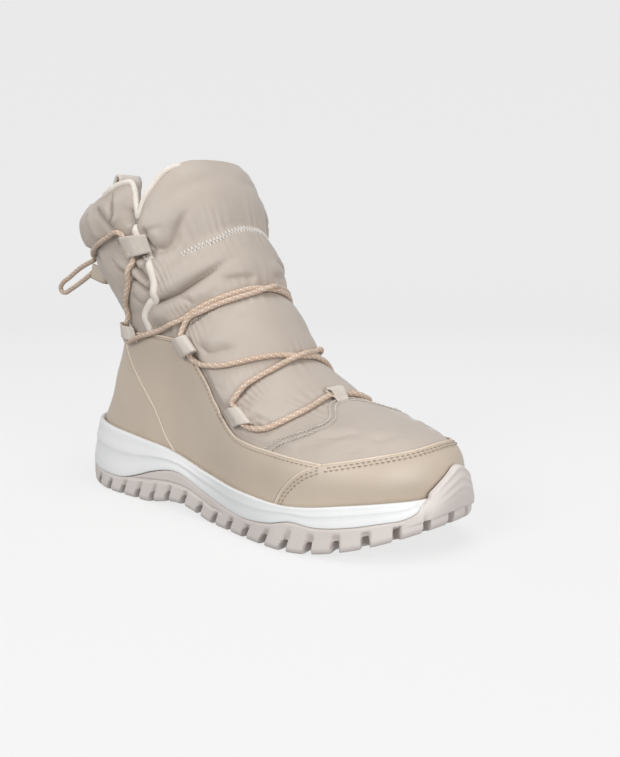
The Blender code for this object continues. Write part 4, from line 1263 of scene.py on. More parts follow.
    # Puckers along the front panel's seams: depth, pitch, reach in levels, where they stop and how they vary
    pucker: float = 0.4
    pucker_pitch: float = 8.0
    pucker_reach: float = 0.55
    pucker_stop: float = 0.95
    pucker_sway: Span = (2.6, 31.0)
    pucker_beat: float = 13.0
    girth: float = 290.0
    # Slack waves of the cloth: depth, lengths, and how calm they and the folds are at the collar's edge
    wave: float = 0.45
    wave_lengths: tuple[float, ...] = (9.0, 11.0, 8.0, 13.0)
    wave_sway: float = 1.3
    rim_calm: Point = (14.3, 0.6, 0.8)
    # How far over the front centre a side's folds reach
    over_centre: float = 0.02
    # Where the collar keeper cinches the panel's edge, how deep and how wide
    cinch_at: Span = (0.69, 12.88)
    cinch: float = 3.2
    cinch_wide: float = 8.0
    # The bed that a cord presses, its slope, and the soft dent about it: depth, width, rise and reach
    cord_radius: float = 1.6
    bed_slope: float = 3.0
    dent: float = 0.6
    dent_wide: float = 4.5
    dent_rise: float = 4.0
    dent_reach: float = 6.0

    def __post_init__(self) -> None:
        """Lays the folds and the fine wrinkles on both sides."""
        last = self.last
        chance = np.random.default_rng(self.seed)
        self.cords: list[tuple[Array, Array]] = []
        self.laid: list[tuple[Side, Crease, Array, Array]] = []
        for side in Side:
            draws = [chance.uniform(self.wrinkle_low, self.wrinkle_high) for _ in range(self.wrinkles)]
            for fold in (*self.folds, *(self.wrinkle(*draw) for draw in draws)):
                around, level = last.trace(fold.line, side).T
                self.laid.append((side, fold, last.skin(around, level), last.normal(around, level)))

    def wrinkle(
        self, along: float, level: float, length: float, climb: float, bend: float, depth: float
    ) -> Crease:
        """A fine wrinkle about a place.

        Args:
            along: The place's share of a ring from the back.
            level: Its level.
            length: The wrinkle's length, as along.
            climb: How far its front end lies over its middle, in levels.
            bend: How far its middle is bent up.
            depth: Its depth.

        Returns:
            The wrinkle.
        """
        half = length / 2
        stop = min(along + half, self.wrinkle_stop)
        line = ((along - half, level - climb), (along, level + bend), (stop, level + climb))
        ridge, cut = self.wrinkle_ridge * depth, self.wrinkle_cut * depth
        return Crease(line, depth, self.wrinkle_width, ridge, 0.0, cut, self.wrinkle_ends)

    def relief(self, around: Array, level: Array) -> tuple[Array, Array]:
        """What folds, seams and slack add to the quilted form.

        Args:
            around: Places around the boot.
            level: Levels.

        Returns:
            The height added at each place, and the way that it slides.
        """
        last = self.last
        points = last.skin(around, level)
        height = np.zeros(len(points))
        slide = np.zeros(points.shape)
        turn = np.mod(around + 1, 2) - 1
        for side, fold, line, outs in self.laid:
            mine = turn * side.value >= -self.over_centre
            more, shift = fold.relief(line, outs, side.value, points[mine])
            height[mine] += more
            slide[mine] += shift
        for side in Side:
            mine = turn * side.value >= -self.over_centre
            places = last.trace(self.panel_edge, side).T
            off, share = nearest(points[mine], last.point(*places), last.normal(*places))[:2]
            off = off * side.value
            before = np.exp(-((off / self.panel_slope) ** 2))
            behind = 1 - ease(off / self.panel_drop)
            step = np.where(off < 0, before, behind) * ease(share / self.panel_start)
            height[mine] += self.panel_stands * step
            along, at_level = self.cinch_at
            knot = last.skin(last.around_at(np.array([along])) * side.value, np.array([at_level]))
            gap = np.linalg.norm(points[mine] - knot, axis=1)
            height[mine] -= self.cinch * np.exp(-((gap / self.cinch_wide) ** 2))
        seam_level = last.seam_level(around, level)
        sway, sway_turns = self.pucker_sway
        for i, seam in enumerate(last.seams[1:-1]):
            near = np.exp(-(((seam_level - seam) / self.pucker_reach) ** 2))
            near = near * (last.panel_share(around, level) < self.pucker_stop)
            phase = turn * self.girth * 2 * np.pi / self.pucker_pitch + sway * np.sin(turn * sway_turns + i)
            height += self.pucker * near * np.sin(phase) * np.abs(np.sin(turn * self.pucker_beat + 2 * i))
        x, y, z = points.T
        by_x, by_z, climb, by_y = self.wave_lengths
        slack = np.sin(x / by_x + self.wave_sway * np.sin(z / by_z)) * np.sin(z / climb + y / by_y)
        height += self.wave * slack
        free = last.clear_of_leather(last.along_at(around), level)
        start, reach, calm = self.rim_calm
        free = free * (1 - calm * ease((level - start) / reach))
        return height * free, slide * free[:, None]

    def bite(self, points: Array, ways: Array) -> Array:
        """How deep the cords press into the cloth.

        Args:
            points: The cloth's points.
            ways: The way out from the boot at each.

        Returns:
            The depth at each point.
        """
        found = np.zeros(len(points))
        radius = self.cord_radius
        for line, outs in self.cords:
            near = beside(points, line, 3 * self.dent_wide)
            gap = nearest(points[near], line, outs)[3]
            rise = np.sum(gap * ways[near], axis=1)
            off = np.sqrt(np.maximum(np.sum(gap**2, axis=1) - rise**2, 0))
            bed = np.sqrt(np.maximum(radius**2 - off**2, 0))
            press = np.maximum(rise + bed, 0) * (1 - ease((off - radius) / self.bed_slope))
            press += self.dent * np.exp(-((off / self.dent_wide) ** 2) - (rise / self.dent_rise) ** 2)
            found[near] = np.maximum(found[near], press * (np.abs(rise) < self.dent_reach))
        return found

    def skin(self, around: Array, level: Array, lift: Array | float = 0.0) -> Array:
        """Points over the folded cloth.

        Args:
            around: Places around the boot.
            level: Levels.
            lift: Height above the cloth.

        Returns:
            Points, a row each.
        """
        around, level = paired(around, level)
        height, slide = self.relief(around, level)
        ways = self.last.normal(around, level)
        out = np.maximum(self.last.quilting(around, level) + height, self.floor)
        points = self.last.point(around, level) + slide + ways * out[:, None]
        return points + ways * (lift - self.bite(points, ways))[:, None]

    def wrap(self, outer: Place, inner: Place, rows: tuple[int, int, int], columns: int) -> Mesh:
        """A closed wall: up its outer face, over the collar's edge and down its inner face.

        Args:
            outer: Gives the outer face's points from places around and levels.
            inner: Gives the inner face's points.
            rows: Faces up the outer face, over the edge and down the inner face.
            columns: Faces around.

        Returns:
            The mesh.
        """
        total = sum(rows)
        top = self.last.top

        def place(across: Array, up: Array) -> Array:
            """Points of the wall.

            Args:
                across: Shares across it.
                up: Shares up it.

            Returns:
                Points, a row each.
            """
            around = across * 2.0
            row = up * total
            rise = np.interp(row / rows[0], (0, self.hidden_rows[0], 1), (0, self.hidden_rows[1], top))
            fall = np.interp((row - rows[0] - rows[1]) / rows[2], (0, 1), (top, 0))
            points = outer(around, rise)
            points[row >= rows[0] + rows[1]] = inner(around, fall)[row >= rows[0] + rows[1]]
            over = (row > rows[0]) & (row < rows[0] + rows[1])
            edge = around[over]
            ends = [face(edge, np.full(edge.shape, float(top))) for face in (outer, inner)]
            share = ((row[over] - rows[0]) / rows[1])[:, None]
            crown = np.linalg.norm(ends[1] - ends[0], axis=1, keepdims=True) / 2 * np.sin(np.pi * share)
            points[over] = ends[0] + (ends[1] - ends[0]) * share + crown * UP
            return points

        bm = lay_grid(columns, total, place, ring=True, loop=True)
        stretch_uv(bm, across=0.55, up=0.45)
        bmesh.ops.recalc_face_normals(bm, faces=bm.faces)
        return bm

    def build(self) -> None:
        """Makes the cloth, the lining and the collar's rolled edge."""
        last = self.last
        back, outer, inner = (
            lambda a, v, depth=depth: last.shell(a, v, -depth)
            for depth in (self.cloth, self.lining_from, self.lining_to)
        )
        rows = (self.outer_rows, self.rim_rows, self.inner_rows)
        shell = add_piece("upper_shell", self.wrap(self.skin, back, rows, self.columns), NYLON, "upper")
        add_piece("upper_lining", self.wrap(outer, inner, rows=(30, 4, 60), columns=160), FLEECE)
        around = np.arange(self.roll_columns) * 2.0 / self.roll_columns
        level = np.full(around.shape, float(last.top))
        along = last.along_at(around)
        front = ease((along - self.roll_front[0]) / self.roll_front[1])
        rear = 1 - ease((along - self.roll_rear[0]) / self.roll_rear[1])
        sink, sink_front, sink_rear = self.roll_sink
        rise, fall = self.roll_rise
        line = self.skin(around, level, -sink - sink_front * front - sink_rear * rear)
        line[:, 2] += rise - fall * (front + rear)
        for _ in range(self.roll_passes):
            line = (np.roll(line, 1, 0) + 2 * line + np.roll(line, -1, 0)) / 4
        bm = sweep(line, last.normal(around, level), self.roll, self.roll, sides=10, ring=True)
        add_piece("collar_roll", bm, BINDING)


# The leather


@dataclass
class Leather:
    """Toe guard, quarters and heel counter, with their raw edges and rows of stitches."""

    upper: Upper
    sole: SoleForm
    thick: float = 1.0
    lift: float = 0.5
    tuck: float = 4.0
    seam: float = 0.0025
    toe_joint: int = 3
    counter_row: int = 15
    # Where a quarter's columns start in the foam cup, as along, for each row of its top edge
    quarter_base: tuple[float, ...] = (
        0.745, 0.715, 0.665, 0.622, 0.588, 0.56, 0.465, 0.458, 0.452, 0.446, 0.436, 0.416, 0.395,
    )
    # The seams between the panels as along and level, from the foam up
    toe_seam: Rows = ((0.756, 1.07), (0.791, 1.89))
    rear_seam: Rows = ((0.38, 0.92), (0.333, 1.91), (0.281, 3.69), (0.238, 6.01), (0.18, 7.92))
    # Points of a panel's edge, and faces across and up each panel
    edge_points: int = 81
    toe_faces: tuple[int, int] = (160, 26)
    quarter_faces: tuple[int, int] = (150, 60)
    counter_faces: tuple[int, int] = (110, 48)
    # How far a panel's upper edge is pared down, and over what share of the panel
    pared: Span = (0.5, 0.03)
    edge_thick: float = 1.2
    edge_sink: float = 0.35
    seam_stands: float = 0.2
    # Stitches: length, gap, thread, how far each row lies from the panel's edge, and on which side of it
    stitch: float = 1.7
    stitch_gap: float = 1.2
    thread: float = 0.65
    toe_rows: tuple[float, ...] = (1.9, 3.6)
    quarter_rows: tuple[float, ...] = (1.8,)
    toeward: Point = (1.0, 0.0, -0.5)
    downward: Point = (-0.5, 0.0, -1.0)

    def base(self, around: Array) -> Array:
        """A panel's lower edge, hidden inside the foam cup.

        Args:
            around: Places around the boot.

        Returns:
            Places around and levels, a row each.
        """
        z = self.sole.foam_line(around) - self.tuck
        wall = self.upper.last.point(around[None, :], WALL_LEVELS[:, None])[..., 2]
        levels = [np.interp(z[i], wall[:, i], WALL_LEVELS) for i in range(len(around))]
        return np.stack([around, levels], -1)

    def places(self, rows: Rows) -> Array:
        """Rows of along and level as places around and levels."""
        along, level = np.array(rows).T
        return np.stack([self.upper.last.around_at(along), level], -1)

    def line(self, points: Array) -> Array:
        """A smooth line through places, spread evenly over the boot.

        Args:
            points: Places around and levels, and any other columns that go with them.

        Returns:
            The line's rows, with the same columns.
        """
        keys = np.arange(len(points))
        at = np.linspace(0, keys[-1], SPREAD_STEPS)
        fine = np.stack([smooth(at, keys, points[:, i]) for i in range(points.shape[1])], -1)
        runs = run_lengths(self.upper.last.point(fine[:, 0], fine[:, 1]))
        at = np.linspace(0, runs[-1], self.edge_points)
        return np.stack([np.interp(at, runs, fine[:, i]) for i in range(points.shape[1])], -1)

    def panel(
        self, name: str, low: Array, high: Array, ends: tuple[Array, Array], size: tuple[int, int]
    ) -> None:
        """A leather overlay between four lines of places and levels.

        Args:
            name: The node that it stands for.
            low: Its lower edge.
            high: Its upper edge.
            ends: Its first and last sides, from the lower edge up.
            size: Faces across it and up it.
        """

        def place(across: Array, up: Array) -> Array:
            """Points of its outer face.

            Args:
                across: Shares across it.
                up: Shares up it.

            Returns:
                Points, a row each.
            """
            up = up[:, None]
            at = read(low, across) + (read(high, across) - read(low, across)) * up
            for i, share in ((0, 1 - across), (-1, across)):
                straight = low[i] + (high[i] - low[i]) * up
                at += (read(ends[i], up[:, 0]) - straight) * (share**3)[:, None]
            fall, share = self.pared
            lift = self.lift + self.thick - fall * ease((up[:, 0] - 1 + share) / share)
            return self.upper.last.skin(at[:, 0], at[:, 1], lift)

        bm = lay_grid(*size, place)
        stretch_uv(bm, across=0.25, up=0.08)
        bmesh.ops.reverse_faces(bm, faces=bm.faces)
        thicken(add_piece(name + "_leather", bm, LEATHER, name), self.thick)

    def edging(self, name: str, line: Array, lift: float) -> None:
        """The raw edge of a panel, as a fine cord, paler than the leather: partly the cut edge's own tone and
        partly a painted highlight along it.

        Args:
            name: The piece's name.
            line: The edge, as places around and levels.
            lift: Its height over the cloth.
        """
        last = self.upper.last
        points = spline(last.skin(line[:, 0], line[:, 1], lift), 1.6)
        outs = read(last.normal(line[:, 0], line[:, 1]), np.linspace(0, 1, len(points)))
        add_piece(name, sweep(points, outs, self.edge_thick, self.edge_thick, sides=6), EDGE_WITH_HIGHLIGHT)

    def stitch_rows(self, name: str, line: Array, insets: tuple[float, ...], toward: Point) -> None:
        """Rows of stitches beside a line of places and levels.

        Args:
            name: The piece's name.
            line: The line that they follow.
            insets: How far each row lies from it.
            toward: The direction of the rows from the line.
        """
        last = self.upper.last
        line_points = last.skin(line[:, 0], line[:, 1], self.lift + self.thick)
        line_outs = last.normal(line[:, 0], line[:, 1])
        side = unit(np.cross(np.gradient(line_points, axis=0), line_outs))
        side = side * np.sign(np.sum(side @ np.array(toward)))
        pitch = self.stitch + self.stitch_gap
        found = []
        for i, inset in enumerate(insets):
            row = respace(spline(line_points + side * inset, step=1.0), count=2000)
            outs = read(line_outs, np.linspace(0, 1, len(row)))
            length = run_lengths(row)
            starts = np.arange(pitch * (0.4 + 0.5 * i), length[-1] - pitch, pitch)
            first = np.searchsorted(length, starts)
            second = np.searchsorted(length, starts + self.stitch)
            found.append((row[first], row[second], outs[first]))
        starts, ends, outs = (np.concatenate(part) for part in zip(*found))
        sew(name, starts, ends, outs, self.thread, TAN_THREAD)

    def build(self) -> None:
        """Makes the panels, their edges and their stitches."""
        last = self.upper.last
        rows = last.leather
        flip = np.array([-1.0, 1.0])
        gap = np.array([self.seam, 0.0])
        quarter = self.places(rows[self.toe_joint : self.counter_row + 1])
        stops = last.around_at(np.array(self.quarter_base))
        toe_foot, rear_foot = (self.base(stops[i : i + 1]) for i in (0, len(stops) - 1))
        toe_side = self.line(np.concatenate([toe_foot, self.places(self.toe_seam), quarter[:1]]))
        rear_side = self.line(np.concatenate([rear_foot, self.places(self.rear_seam), quarter[-1:]]))
        toe = self.places(rows[: self.toe_joint + 1])
        toe_top = self.line(np.concatenate([toe[:0:-1] * flip, toe]))
        low = self.base(np.linspace(-stops[0], stops[0], self.edge_points))
        self.panel("toe_guard", low, toe_top, (toe_side * flip, toe_side), self.toe_faces)
        top = self.line(np.concatenate([quarter, np.arange(len(stops))[:, None]], 1))
        spread = np.interp(top[:, 2], np.arange(len(stops)), stops)
        top = top[:, :2]
        shift = np.linspace(1, -1, self.edge_points)[:, None] * gap
        low, high = self.base(spread) + shift, top + shift
        ends = (toe_side + gap, rear_side - gap)
        self.panel("quarter_lateral", low, high, ends, self.quarter_faces)
        far = tuple(end * flip for end in ends[::-1])
        self.panel("quarter_medial", (low * flip)[::-1], (high * flip)[::-1], far, self.quarter_faces)
        low = self.base(np.linspace(stops[-1], 2 - stops[-1], self.edge_points))
        side, back = self.places(rows[self.counter_row :])
        counter = self.line(np.array([side, back, (2 - side[0], side[1])]))
        ends = (rear_side, rear_side * flip + (2.0, 0.0))
        self.panel("heel_counter", low, counter, ends, self.counter_faces)
        lift = self.lift + self.thick - self.edge_sink
        self.edging("toe_guard_edge", toe_top, lift)
        self.stitch_rows("toe_guard_stitches", toe_top, self.toe_rows, self.toeward)
        self.edging("counter_edge", counter, lift)
        for side in Side:
            label = side.label
            sign = np.array([side.value, 1.0])
            self.edging(f"quarter_edge_{label}", top * sign, lift)
            self.stitch_rows(f"quarter_stitches_{label}", top * sign, self.quarter_rows, self.downward)
            self.edging(f"toe_seam_{label}", toe_side * sign, lift + self.seam_stands)
            self.stitch_rows(f"toe_seam_stitches_{label}", toe_side * sign, self.toe_rows, self.toeward)
            self.edging(f"rear_seam_{label}", rear_side * sign, lift + self.seam_stands)


# Seams of the cloth


@dataclass
class Seams:
    """Rows of stitching across the front panel and the vamp; the dark rows right under the cords carry
    painted shadow of the cords.
    """

    upper: Upper
    thread: float = 0.75
    vamp: Rows = ((0.689, 2.55), (0.766, 3.71), (0.828, 4.25), (0.896, 4.85), (0.965, 5.71), (1.0, 6.5))
    top: Rows = ((0.834, 12.27), (0.872, 12.34), (0.91, 12.42), (0.968, 12.57), (1.0, 12.78))
    top_rise: float = 0.14
    # The shin and instep rows lie right under the double and crossed cords, where their dark thread is
    # painted shadow of the cords
    shin: Rows = ((0.724, 9.72), (0.819, 10.09), (0.905, 10.52), (0.979, 10.9), (1.0, 11.03))
    instep: Rows = ((0.797, 6.67), (0.879, 7.42), (0.931, 7.77), (0.973, 8.07))

    def build(self) -> None:
        """Makes each row on both sides."""
        for name, line, reach, pitch, offset, finish in (
            ("top_zigzag", self.top, 2.0, 1.15, 0.0, WHITE_THREAD),
            ("vamp_row_upper", self.vamp, 0.7, 1.2, 1.4, THREAD),
            ("vamp_row_lower", self.vamp, 0.7, 1.2, -1.6, THREAD),
            # Dark rows right under the cords: painted shadow of the cords, laid as dark thread
            ("shin_stitches", self.shin, 0.8, 1.1, -0.4, CORD_SHADOW_THREAD),
            ("instep_stitches", self.instep, 0.8, 1.1, -0.4, CORD_SHADOW_THREAD),
        ):
            for side in Side:
                rise = self.top_rise if line is self.top and side is Side.MEDIAL else 0.0
                rows = [(along, level + rise * (along < 1.0)) for along, level in line]
                self.zigzag(f"{name}_{side.label}", rows, side, reach, pitch, offset, finish)

    def zigzag(self, name: str, line: Rows, side: Side, reach: float, pitch: float, offset: float,
               finish: Finish) -> None:
        """One zigzag row of stitches on the cloth.

        Args:
            name: The piece's name.
            line: The seam, as along and level.
            side: The side that it is on.
            reach: How far the stitches stand out from the row's middle.
            pitch: The step from one stitch to the next.
            offset: How far the row's middle lies above the seam.
            finish: The thread's finish.
        """
        last = self.upper.last
        around, level = last.trace(line, side, step=0.1).T
        points = self.upper.skin(around, level, lift=0.3)
        count = int(run_lengths(points)[-1] / pitch)
        middle = respace(points, count - 1)
        outs = read(last.normal(around, level), np.linspace(0, 1, count))
        up = unit(np.cross(outs, np.gradient(middle, axis=0))) * side.value
        ends = middle + up * (offset + reach * (-1.0) ** np.arange(count))[:, None]
        sew(name, ends[:-1], ends[1:], outs[:-1], self.thread, finish)


# The sole


@dataclass
class Midsole:
    """The white foam cup, with a soft ledge along its side."""

    last: Last
    sole: SoleForm
    columns: int = 360
    rim: float = 2.2
    # How much foam shows over the rubber, and the rise over which the rubber covers it at the toe
    shows: float = 3.2
    cover_rise: float = 1.5
    # Swell of the side by share from the rim to the rubber
    side: Rows = (
        (0.0, 0.0), (0.05, 0.4), (0.2, 0.5), (0.34, 0.9), (0.42, 1.0), (0.48, 0.5), (0.62, 0.3), (0.8, 0.5),
        (0.93, 0.4), (1.0, 0.1),
    )
    ridge_fades: Span = (110.0, 170.0)
    ridge_fade: float = 0.6
    side_rows: int = 30

    def build(self) -> None:
        """Makes the cup."""
        last, sole = self.last, self.sole
        a = np.arange(self.columns) * 2.0 / self.columns
        foam_z = sole.foam_line(a)
        rubber = sole.rubber_line(a)
        cover = ease((rubber - foam_z + self.shows + self.cover_rise) / self.cover_rise)
        gap, clear = sole.gap, sole.cup_clear
        rubber_z = np.minimum(rubber, foam_z - self.shows) + 2 * gap
        low = last.at_height(a, last.point(a, np.zeros(a.shape))[:, 2] - gap, clear)
        lip = last.at_height(a, foam_z, clear)
        rim = last.at_height(a, foam_z, clear + self.rim)
        tray = sole.outline(a, sole.rubber_wall + gap)
        rim = rim + (with_z(tray, foam_z) - rim) * cover[:, None]
        edge = with_z(sole.outline(a, (sole.rubber_wall + gap) * cover), rubber_z)
        outward = -sole.inward(a)
        start, stop = self.ridge_fades
        strength = (1 - cover) * (1 - self.ridge_fade * ease((edge[:, 0] - start) / (stop - start)))
        loops = [with_z(sole.spine(low[:, :2]), low[:, 2]), low, lip]
        for share in np.linspace(0, 1, self.side_rows + 1):
            loop = rim + (edge - rim) * share
            swell = np.interp(share, *np.array(self.side).T)
            loop[:, :2] += outward * (swell * strength)[:, None]
            loops.append(loop)
        loops.append(with_z(tray, rubber_z - 2 * gap * cover))
        for plan in (tray, sole.spine(tray)):
            loops.append(with_z(plan, sole.ground(plan[:, 0]) + sole.tray_rise + gap))
        add_piece("midsole_foam", stack(np.array(loops)), FOAM, "midsole")


def stack(loops: Array) -> Mesh:
    """A closed body through loops of equal count, whose first and last loops fold onto a line.

    Args:
        loops: Points by loop and place around.

    Returns:
        The mesh.
    """
    count, columns = loops.shape[:2]

    def place(across: Array, up: Array) -> Array:
        """Points of the loops."""
        return loops[np.rint(up * (count - 1)).astype(int), np.rint(across * columns).astype(int) % columns]

    bm = lay_grid(columns, count - 1, place, ring=True)
    stretch_uv(bm, across=0.66, up=0.12)
    bmesh.ops.dissolve_degenerate(bm, dist=MERGE, edges=bm.edges)
    bmesh.ops.recalc_face_normals(bm, faces=bm.faces)
    return bm


@dataclass
class Outsole:
    """The rubber tray with its lugs, its arch panel and its ribbed toe bumper."""

    last: Last
    sole: SoleForm
    lugs: int = 44
    columns_per_lug: int = 20
    girth: float = 660.0
    groove: float = 4.6
    groove_edge: float = 0.7
    groove_depth: float = 13.0
    groove_rise: float = 6.2
    groove_start: float = 0.06
    wall_groove: float = 2.6
    wall_groove_stop: float = 1.6
    # How far the lugs lean towards the toe as they rise, by x
    lean: Rows = (
        (0.0, 0.2), (30.0, 0.55), (120.0, 0.45), (200.0, 0.62), (225.0, 0.3), (245.0, 0.05), (282.0, 0.0),
    )
    # The fine line between the lugs and the arch panel, by x
    panel_line: Rows = (
        (60.0, 11.6), (82.0, 14.0), (97.0, 15.8), (110.0, 17.0), (122.0, 16.8), (131.0, 15.6),
        (141.0, 12.9), (151.0, 10.4), (163.0, 9.6),
    )
    panel_groove: float = 1.2
    panel_groove_wide: float = 0.7
    edge_inset: float = 2.4
    wall_foot: float = 3.0
    rim_round: float = 0.8
    # The toe bumper: wall, belly and ribs, where the ribs start up it and round it, how it fades and leans
    bumper_wall: float = 3.0
    bumper_belly: float = 1.6
    bumper_rib: float = 0.2
    bumper_ribs: int = 5
    ribs_up: Span = (0.45, 0.15)
    ribs_round: Span = (0.55, 0.3)
    bumper_fade: float = 0.5
    bumper_lean: float = 4.0
    wall_rows: int = 26
    lug_rows: int = 16
    floor_rows: int = 16
    # Grooves across the tread: places along it, half width, soft edge, and the share outward where they stop
    bars: tuple[float, ...] = (34.0, 52.0, 70.0, 164.0, 180.0, 196.0, 212.0)
    bar_half: float = 2.0
    bar_edge: float = 0.6
    bar_stop: Span = (0.62, 0.1)
    sharp: float = math.radians(70)

    def groove_share(self, a: Array, plan: Array, rise: Array | float) -> Array:
        """How much of a groove lies at places around the sole, 0 on a lug and 1 in a groove.

        Args:
            a: Places around the sole.
            plan: The outline's points there.
            rise: Heights over the tread.

        Returns:
            Shares.
        """
        span = 2.0 / self.lugs
        pitch = self.girth / self.lugs
        toeward = np.where(np.mod(a, 2) < 1, 1.0, -1.0)
        shift = np.interp(plan[:, 0], *np.array(self.lean).T) * rise * toeward / pitch
        phase = np.mod(a / span + shift, 1.0)
        reach = np.abs(phase - 0.5) * pitch
        return 1 - ease((reach - self.groove / 2 + self.groove_edge) / self.groove_edge)

    def build(self) -> None:
        """Makes the outsole as one closed body, from the tread's middle up the wall and into the tray."""
        last, sole = self.last, self.sole
        count = self.lugs * self.columns_per_lug
        a = np.arange(count) * 2.0 / count
        plan = sole.outline(a)
        inward = sole.inward(a)
        lift = sole.ground(plan[:, 0])
        top = sole.rubber_line(a)
        foam_z = sole.foam_line(a)
        toe = ease(sole.bumper(a) / self.bumper_fade)
        over = ease((top - foam_z) / self.bumper_lean)
        lean = last.at_height(a, top - self.rim_round, sole.cup_clear + self.bumper_wall)
        crest = with_z(plan, top - self.rim_round)
        crest[:, :2] += (lean - crest)[:, :2] * over[:, None]
        loops = [*self.tread(a, plan, inward), *self.lug_loops(a, plan, inward, lift)]
        start = with_z(plan, lift + self.groove_rise)
        line = np.interp(plan[:, 0], *np.array(self.panel_line).T, left=-9.0, right=-9.0)
        fade_top = np.where(line > 0, line, top - self.wall_groove_stop)
        for share in np.linspace(0, 1, self.wall_rows + 1)[1:]:
            loop = start + (crest - start) * share
            foot = lift + self.wall_foot
            whole = (loop[:, 2] - foot) / np.maximum(crest[:, 2] - foot, 1.0)
            bent = self.bumper_belly * np.sin(np.pi * np.clip(whole, 0, 1))
            rib = self.bumper_rib * np.cos(self.bumper_ribs * 2 * np.pi * whole)
            for way, (start_at, reach) in ((whole, self.ribs_up), (sole.bumper(a), self.ribs_round)):
                rib = rib * ease((way - start_at) / reach)
            held = self.groove_share(a, plan, loop[:, 2] - lift)
            soft = 1 - ease((loop[:, 2] - start[:, 2]) / np.maximum(fade_top - start[:, 2], 0.5))
            cut = self.wall_groove * held * soft * (1 - toe)
            fine = self.panel_groove * np.exp(-(((loop[:, 2] - line) / self.panel_groove_wide) ** 2))
            loop[:, :2] += inward * (cut + fine - toe * (bent + rib))[:, None]
            loops.append(loop)
        rim = crest.copy()
        rim[:, 2] = top
        rim[:, :2] += inward * self.rim_round
        tray = sole.outline(a, sole.rubber_wall)
        thin = with_z(tray, top)
        hold = last.at_height(a, top, sole.cup_clear)
        thin[:, :2] += (hold - thin)[:, :2] * over[:, None]
        floor_z = sole.ground(tray[:, 0]) + sole.tray_rise
        inner = np.maximum(np.minimum(top - 2 * sole.gap, foam_z + 2 * sole.gap), floor_z + sole.gap)
        middle = sole.spine(tray)
        loops += [rim, thin, with_z(tray, inner), with_z(tray, floor_z)]
        loops.append(with_z(middle, sole.ground(middle[:, 0]) + sole.tray_rise))
        piece = add_piece("outsole_rubber", stack(np.array(loops)), RUBBER, "outsole")
        piece.data.set_sharp_from_angle(angle=self.sharp)

    def tread(self, a: Array, plan: Array, inward: Array) -> list[Array]:
        """Loops of the tread from its middle line to the inner ends of the edge lugs' grooves.

        Args:
            a: Places around the sole.
            plan: The outline's points there.
            inward: The direction into the sole there.

        Returns:
            The loops, the first of them on the middle line.
        """
        outer = plan + inward * (self.groove_depth + self.bar_edge)
        middle = self.sole.spine(plan)
        loops = []
        for share in np.linspace(0, 1, self.floor_rows + 1)[:-1]:
            at = middle + (outer - middle) * share
            gap = np.min(np.abs(at[:, :1] - np.array(self.bars)[None]), axis=1)
            bar = 1 - ease((gap - self.bar_half + self.bar_edge) / (2 * self.bar_edge))
            bar = bar * (1 - ease((share - self.bar_stop[0]) / self.bar_stop[1]))
            loops.append(with_z(at, self.sole.ground(at[:, 0]) + (self.groove_rise - self.bar_edge) * bar))
        return loops

    def lug_loops(self, a: Array, plan: Array, inward: Array, lift: Array) -> list[Array]:
        """Loops round the lugs, from the grooves' inner ends under the tread to their tops on the wall.

        Args:
            a: Places around the sole.
            plan: The outline's points there.
            inward: The direction into the sole there.
            lift: The tread's height there.

        Returns:
            The loops.
        """
        deep, high, foot = self.groove_depth, self.groove_rise, self.edge_inset
        # Share of the way, inset and height of the section over a lug and in a groove
        lug = np.array((
            (0, deep, 0.0), (0.5, foot + 0.5, 0.0), (0.56, foot - 0.6, 0.25), (0.66, 0.5, 1.7),
            (0.74, 0.0, 3.2), (1, 0.0, high),
        )).T
        cut = np.array((
            (0, deep, 0.0), (0.12, deep - 0.6, high - 1.2), (0.22, deep - 1.8, high - 0.2), (0.85, 3.8, high),
            (1, self.wall_groove, high + 0.4),
        )).T
        loops = []
        for share in np.linspace(0, 1, self.lug_rows + 1):
            solid, hollow = ([np.interp(share, way[0], way[i]) for i in (1, 2)] for way in (lug, cut))
            held = self.groove_share(a, plan, solid[1]) * ease(share / self.groove_start)
            inset = solid[0] + (hollow[0] - solid[0]) * held
            height = solid[1] + (hollow[1] - solid[1]) * held
            at = plan + inward * inset[:, None]
            ground = self.sole.ground(at[:, 0])
            loops.append(with_z(at, ground + (lift - ground) * share + height))
        return loops


@dataclass
class Insole:
    """The pile-covered insole."""

    last: Last
    columns: int = 200
    wall: float = 4.0
    clear: float = 1.2
    thick: float = 5.0
    middle_ends: Span = (60.0, 230.0)
    # Rows of the rounded edge by shares of the thickness and of the way in, and of the dish by the latter
    edge_rows: Rows = ((0.6, 0.0), (0.85, 0.02), (1.0, 0.05))
    dish_rows: tuple[float, ...] = (0.3, 0.6, 0.8, 1.0)
    dish: float = 0.8

    def build(self) -> None:
        """Makes the insole, with a rounded upper edge and a slight dish."""
        last = self.last
        a = np.arange(self.columns) * 2.0 / self.columns
        level = np.zeros(a.shape)
        edge = last.shell(a, level, -(self.wall + self.clear))
        edge[:, 2] = last.point(a, level)[:, 2]
        outer = edge[: self.columns // 2][::-1]
        x = np.clip(edge[:, 0], *self.middle_ends)
        middle = np.stack([x, last.centre_y(x), np.interp(x, outer[:, 0], outer[:, 2])], -1)
        loops = [middle, middle + (edge - middle) * 0.5, edge]
        for share, inset in self.edge_rows:
            loops.append(edge + (middle - edge) * inset + UP * self.thick * share)
        for share in self.dish_rows:
            loops.append(edge + (middle - edge) * share + UP * (self.thick - self.dish * share))
        add_piece("insole_pile", stack(np.array(loops)), FLEECE, "insole")


# Cord, keepers and trim


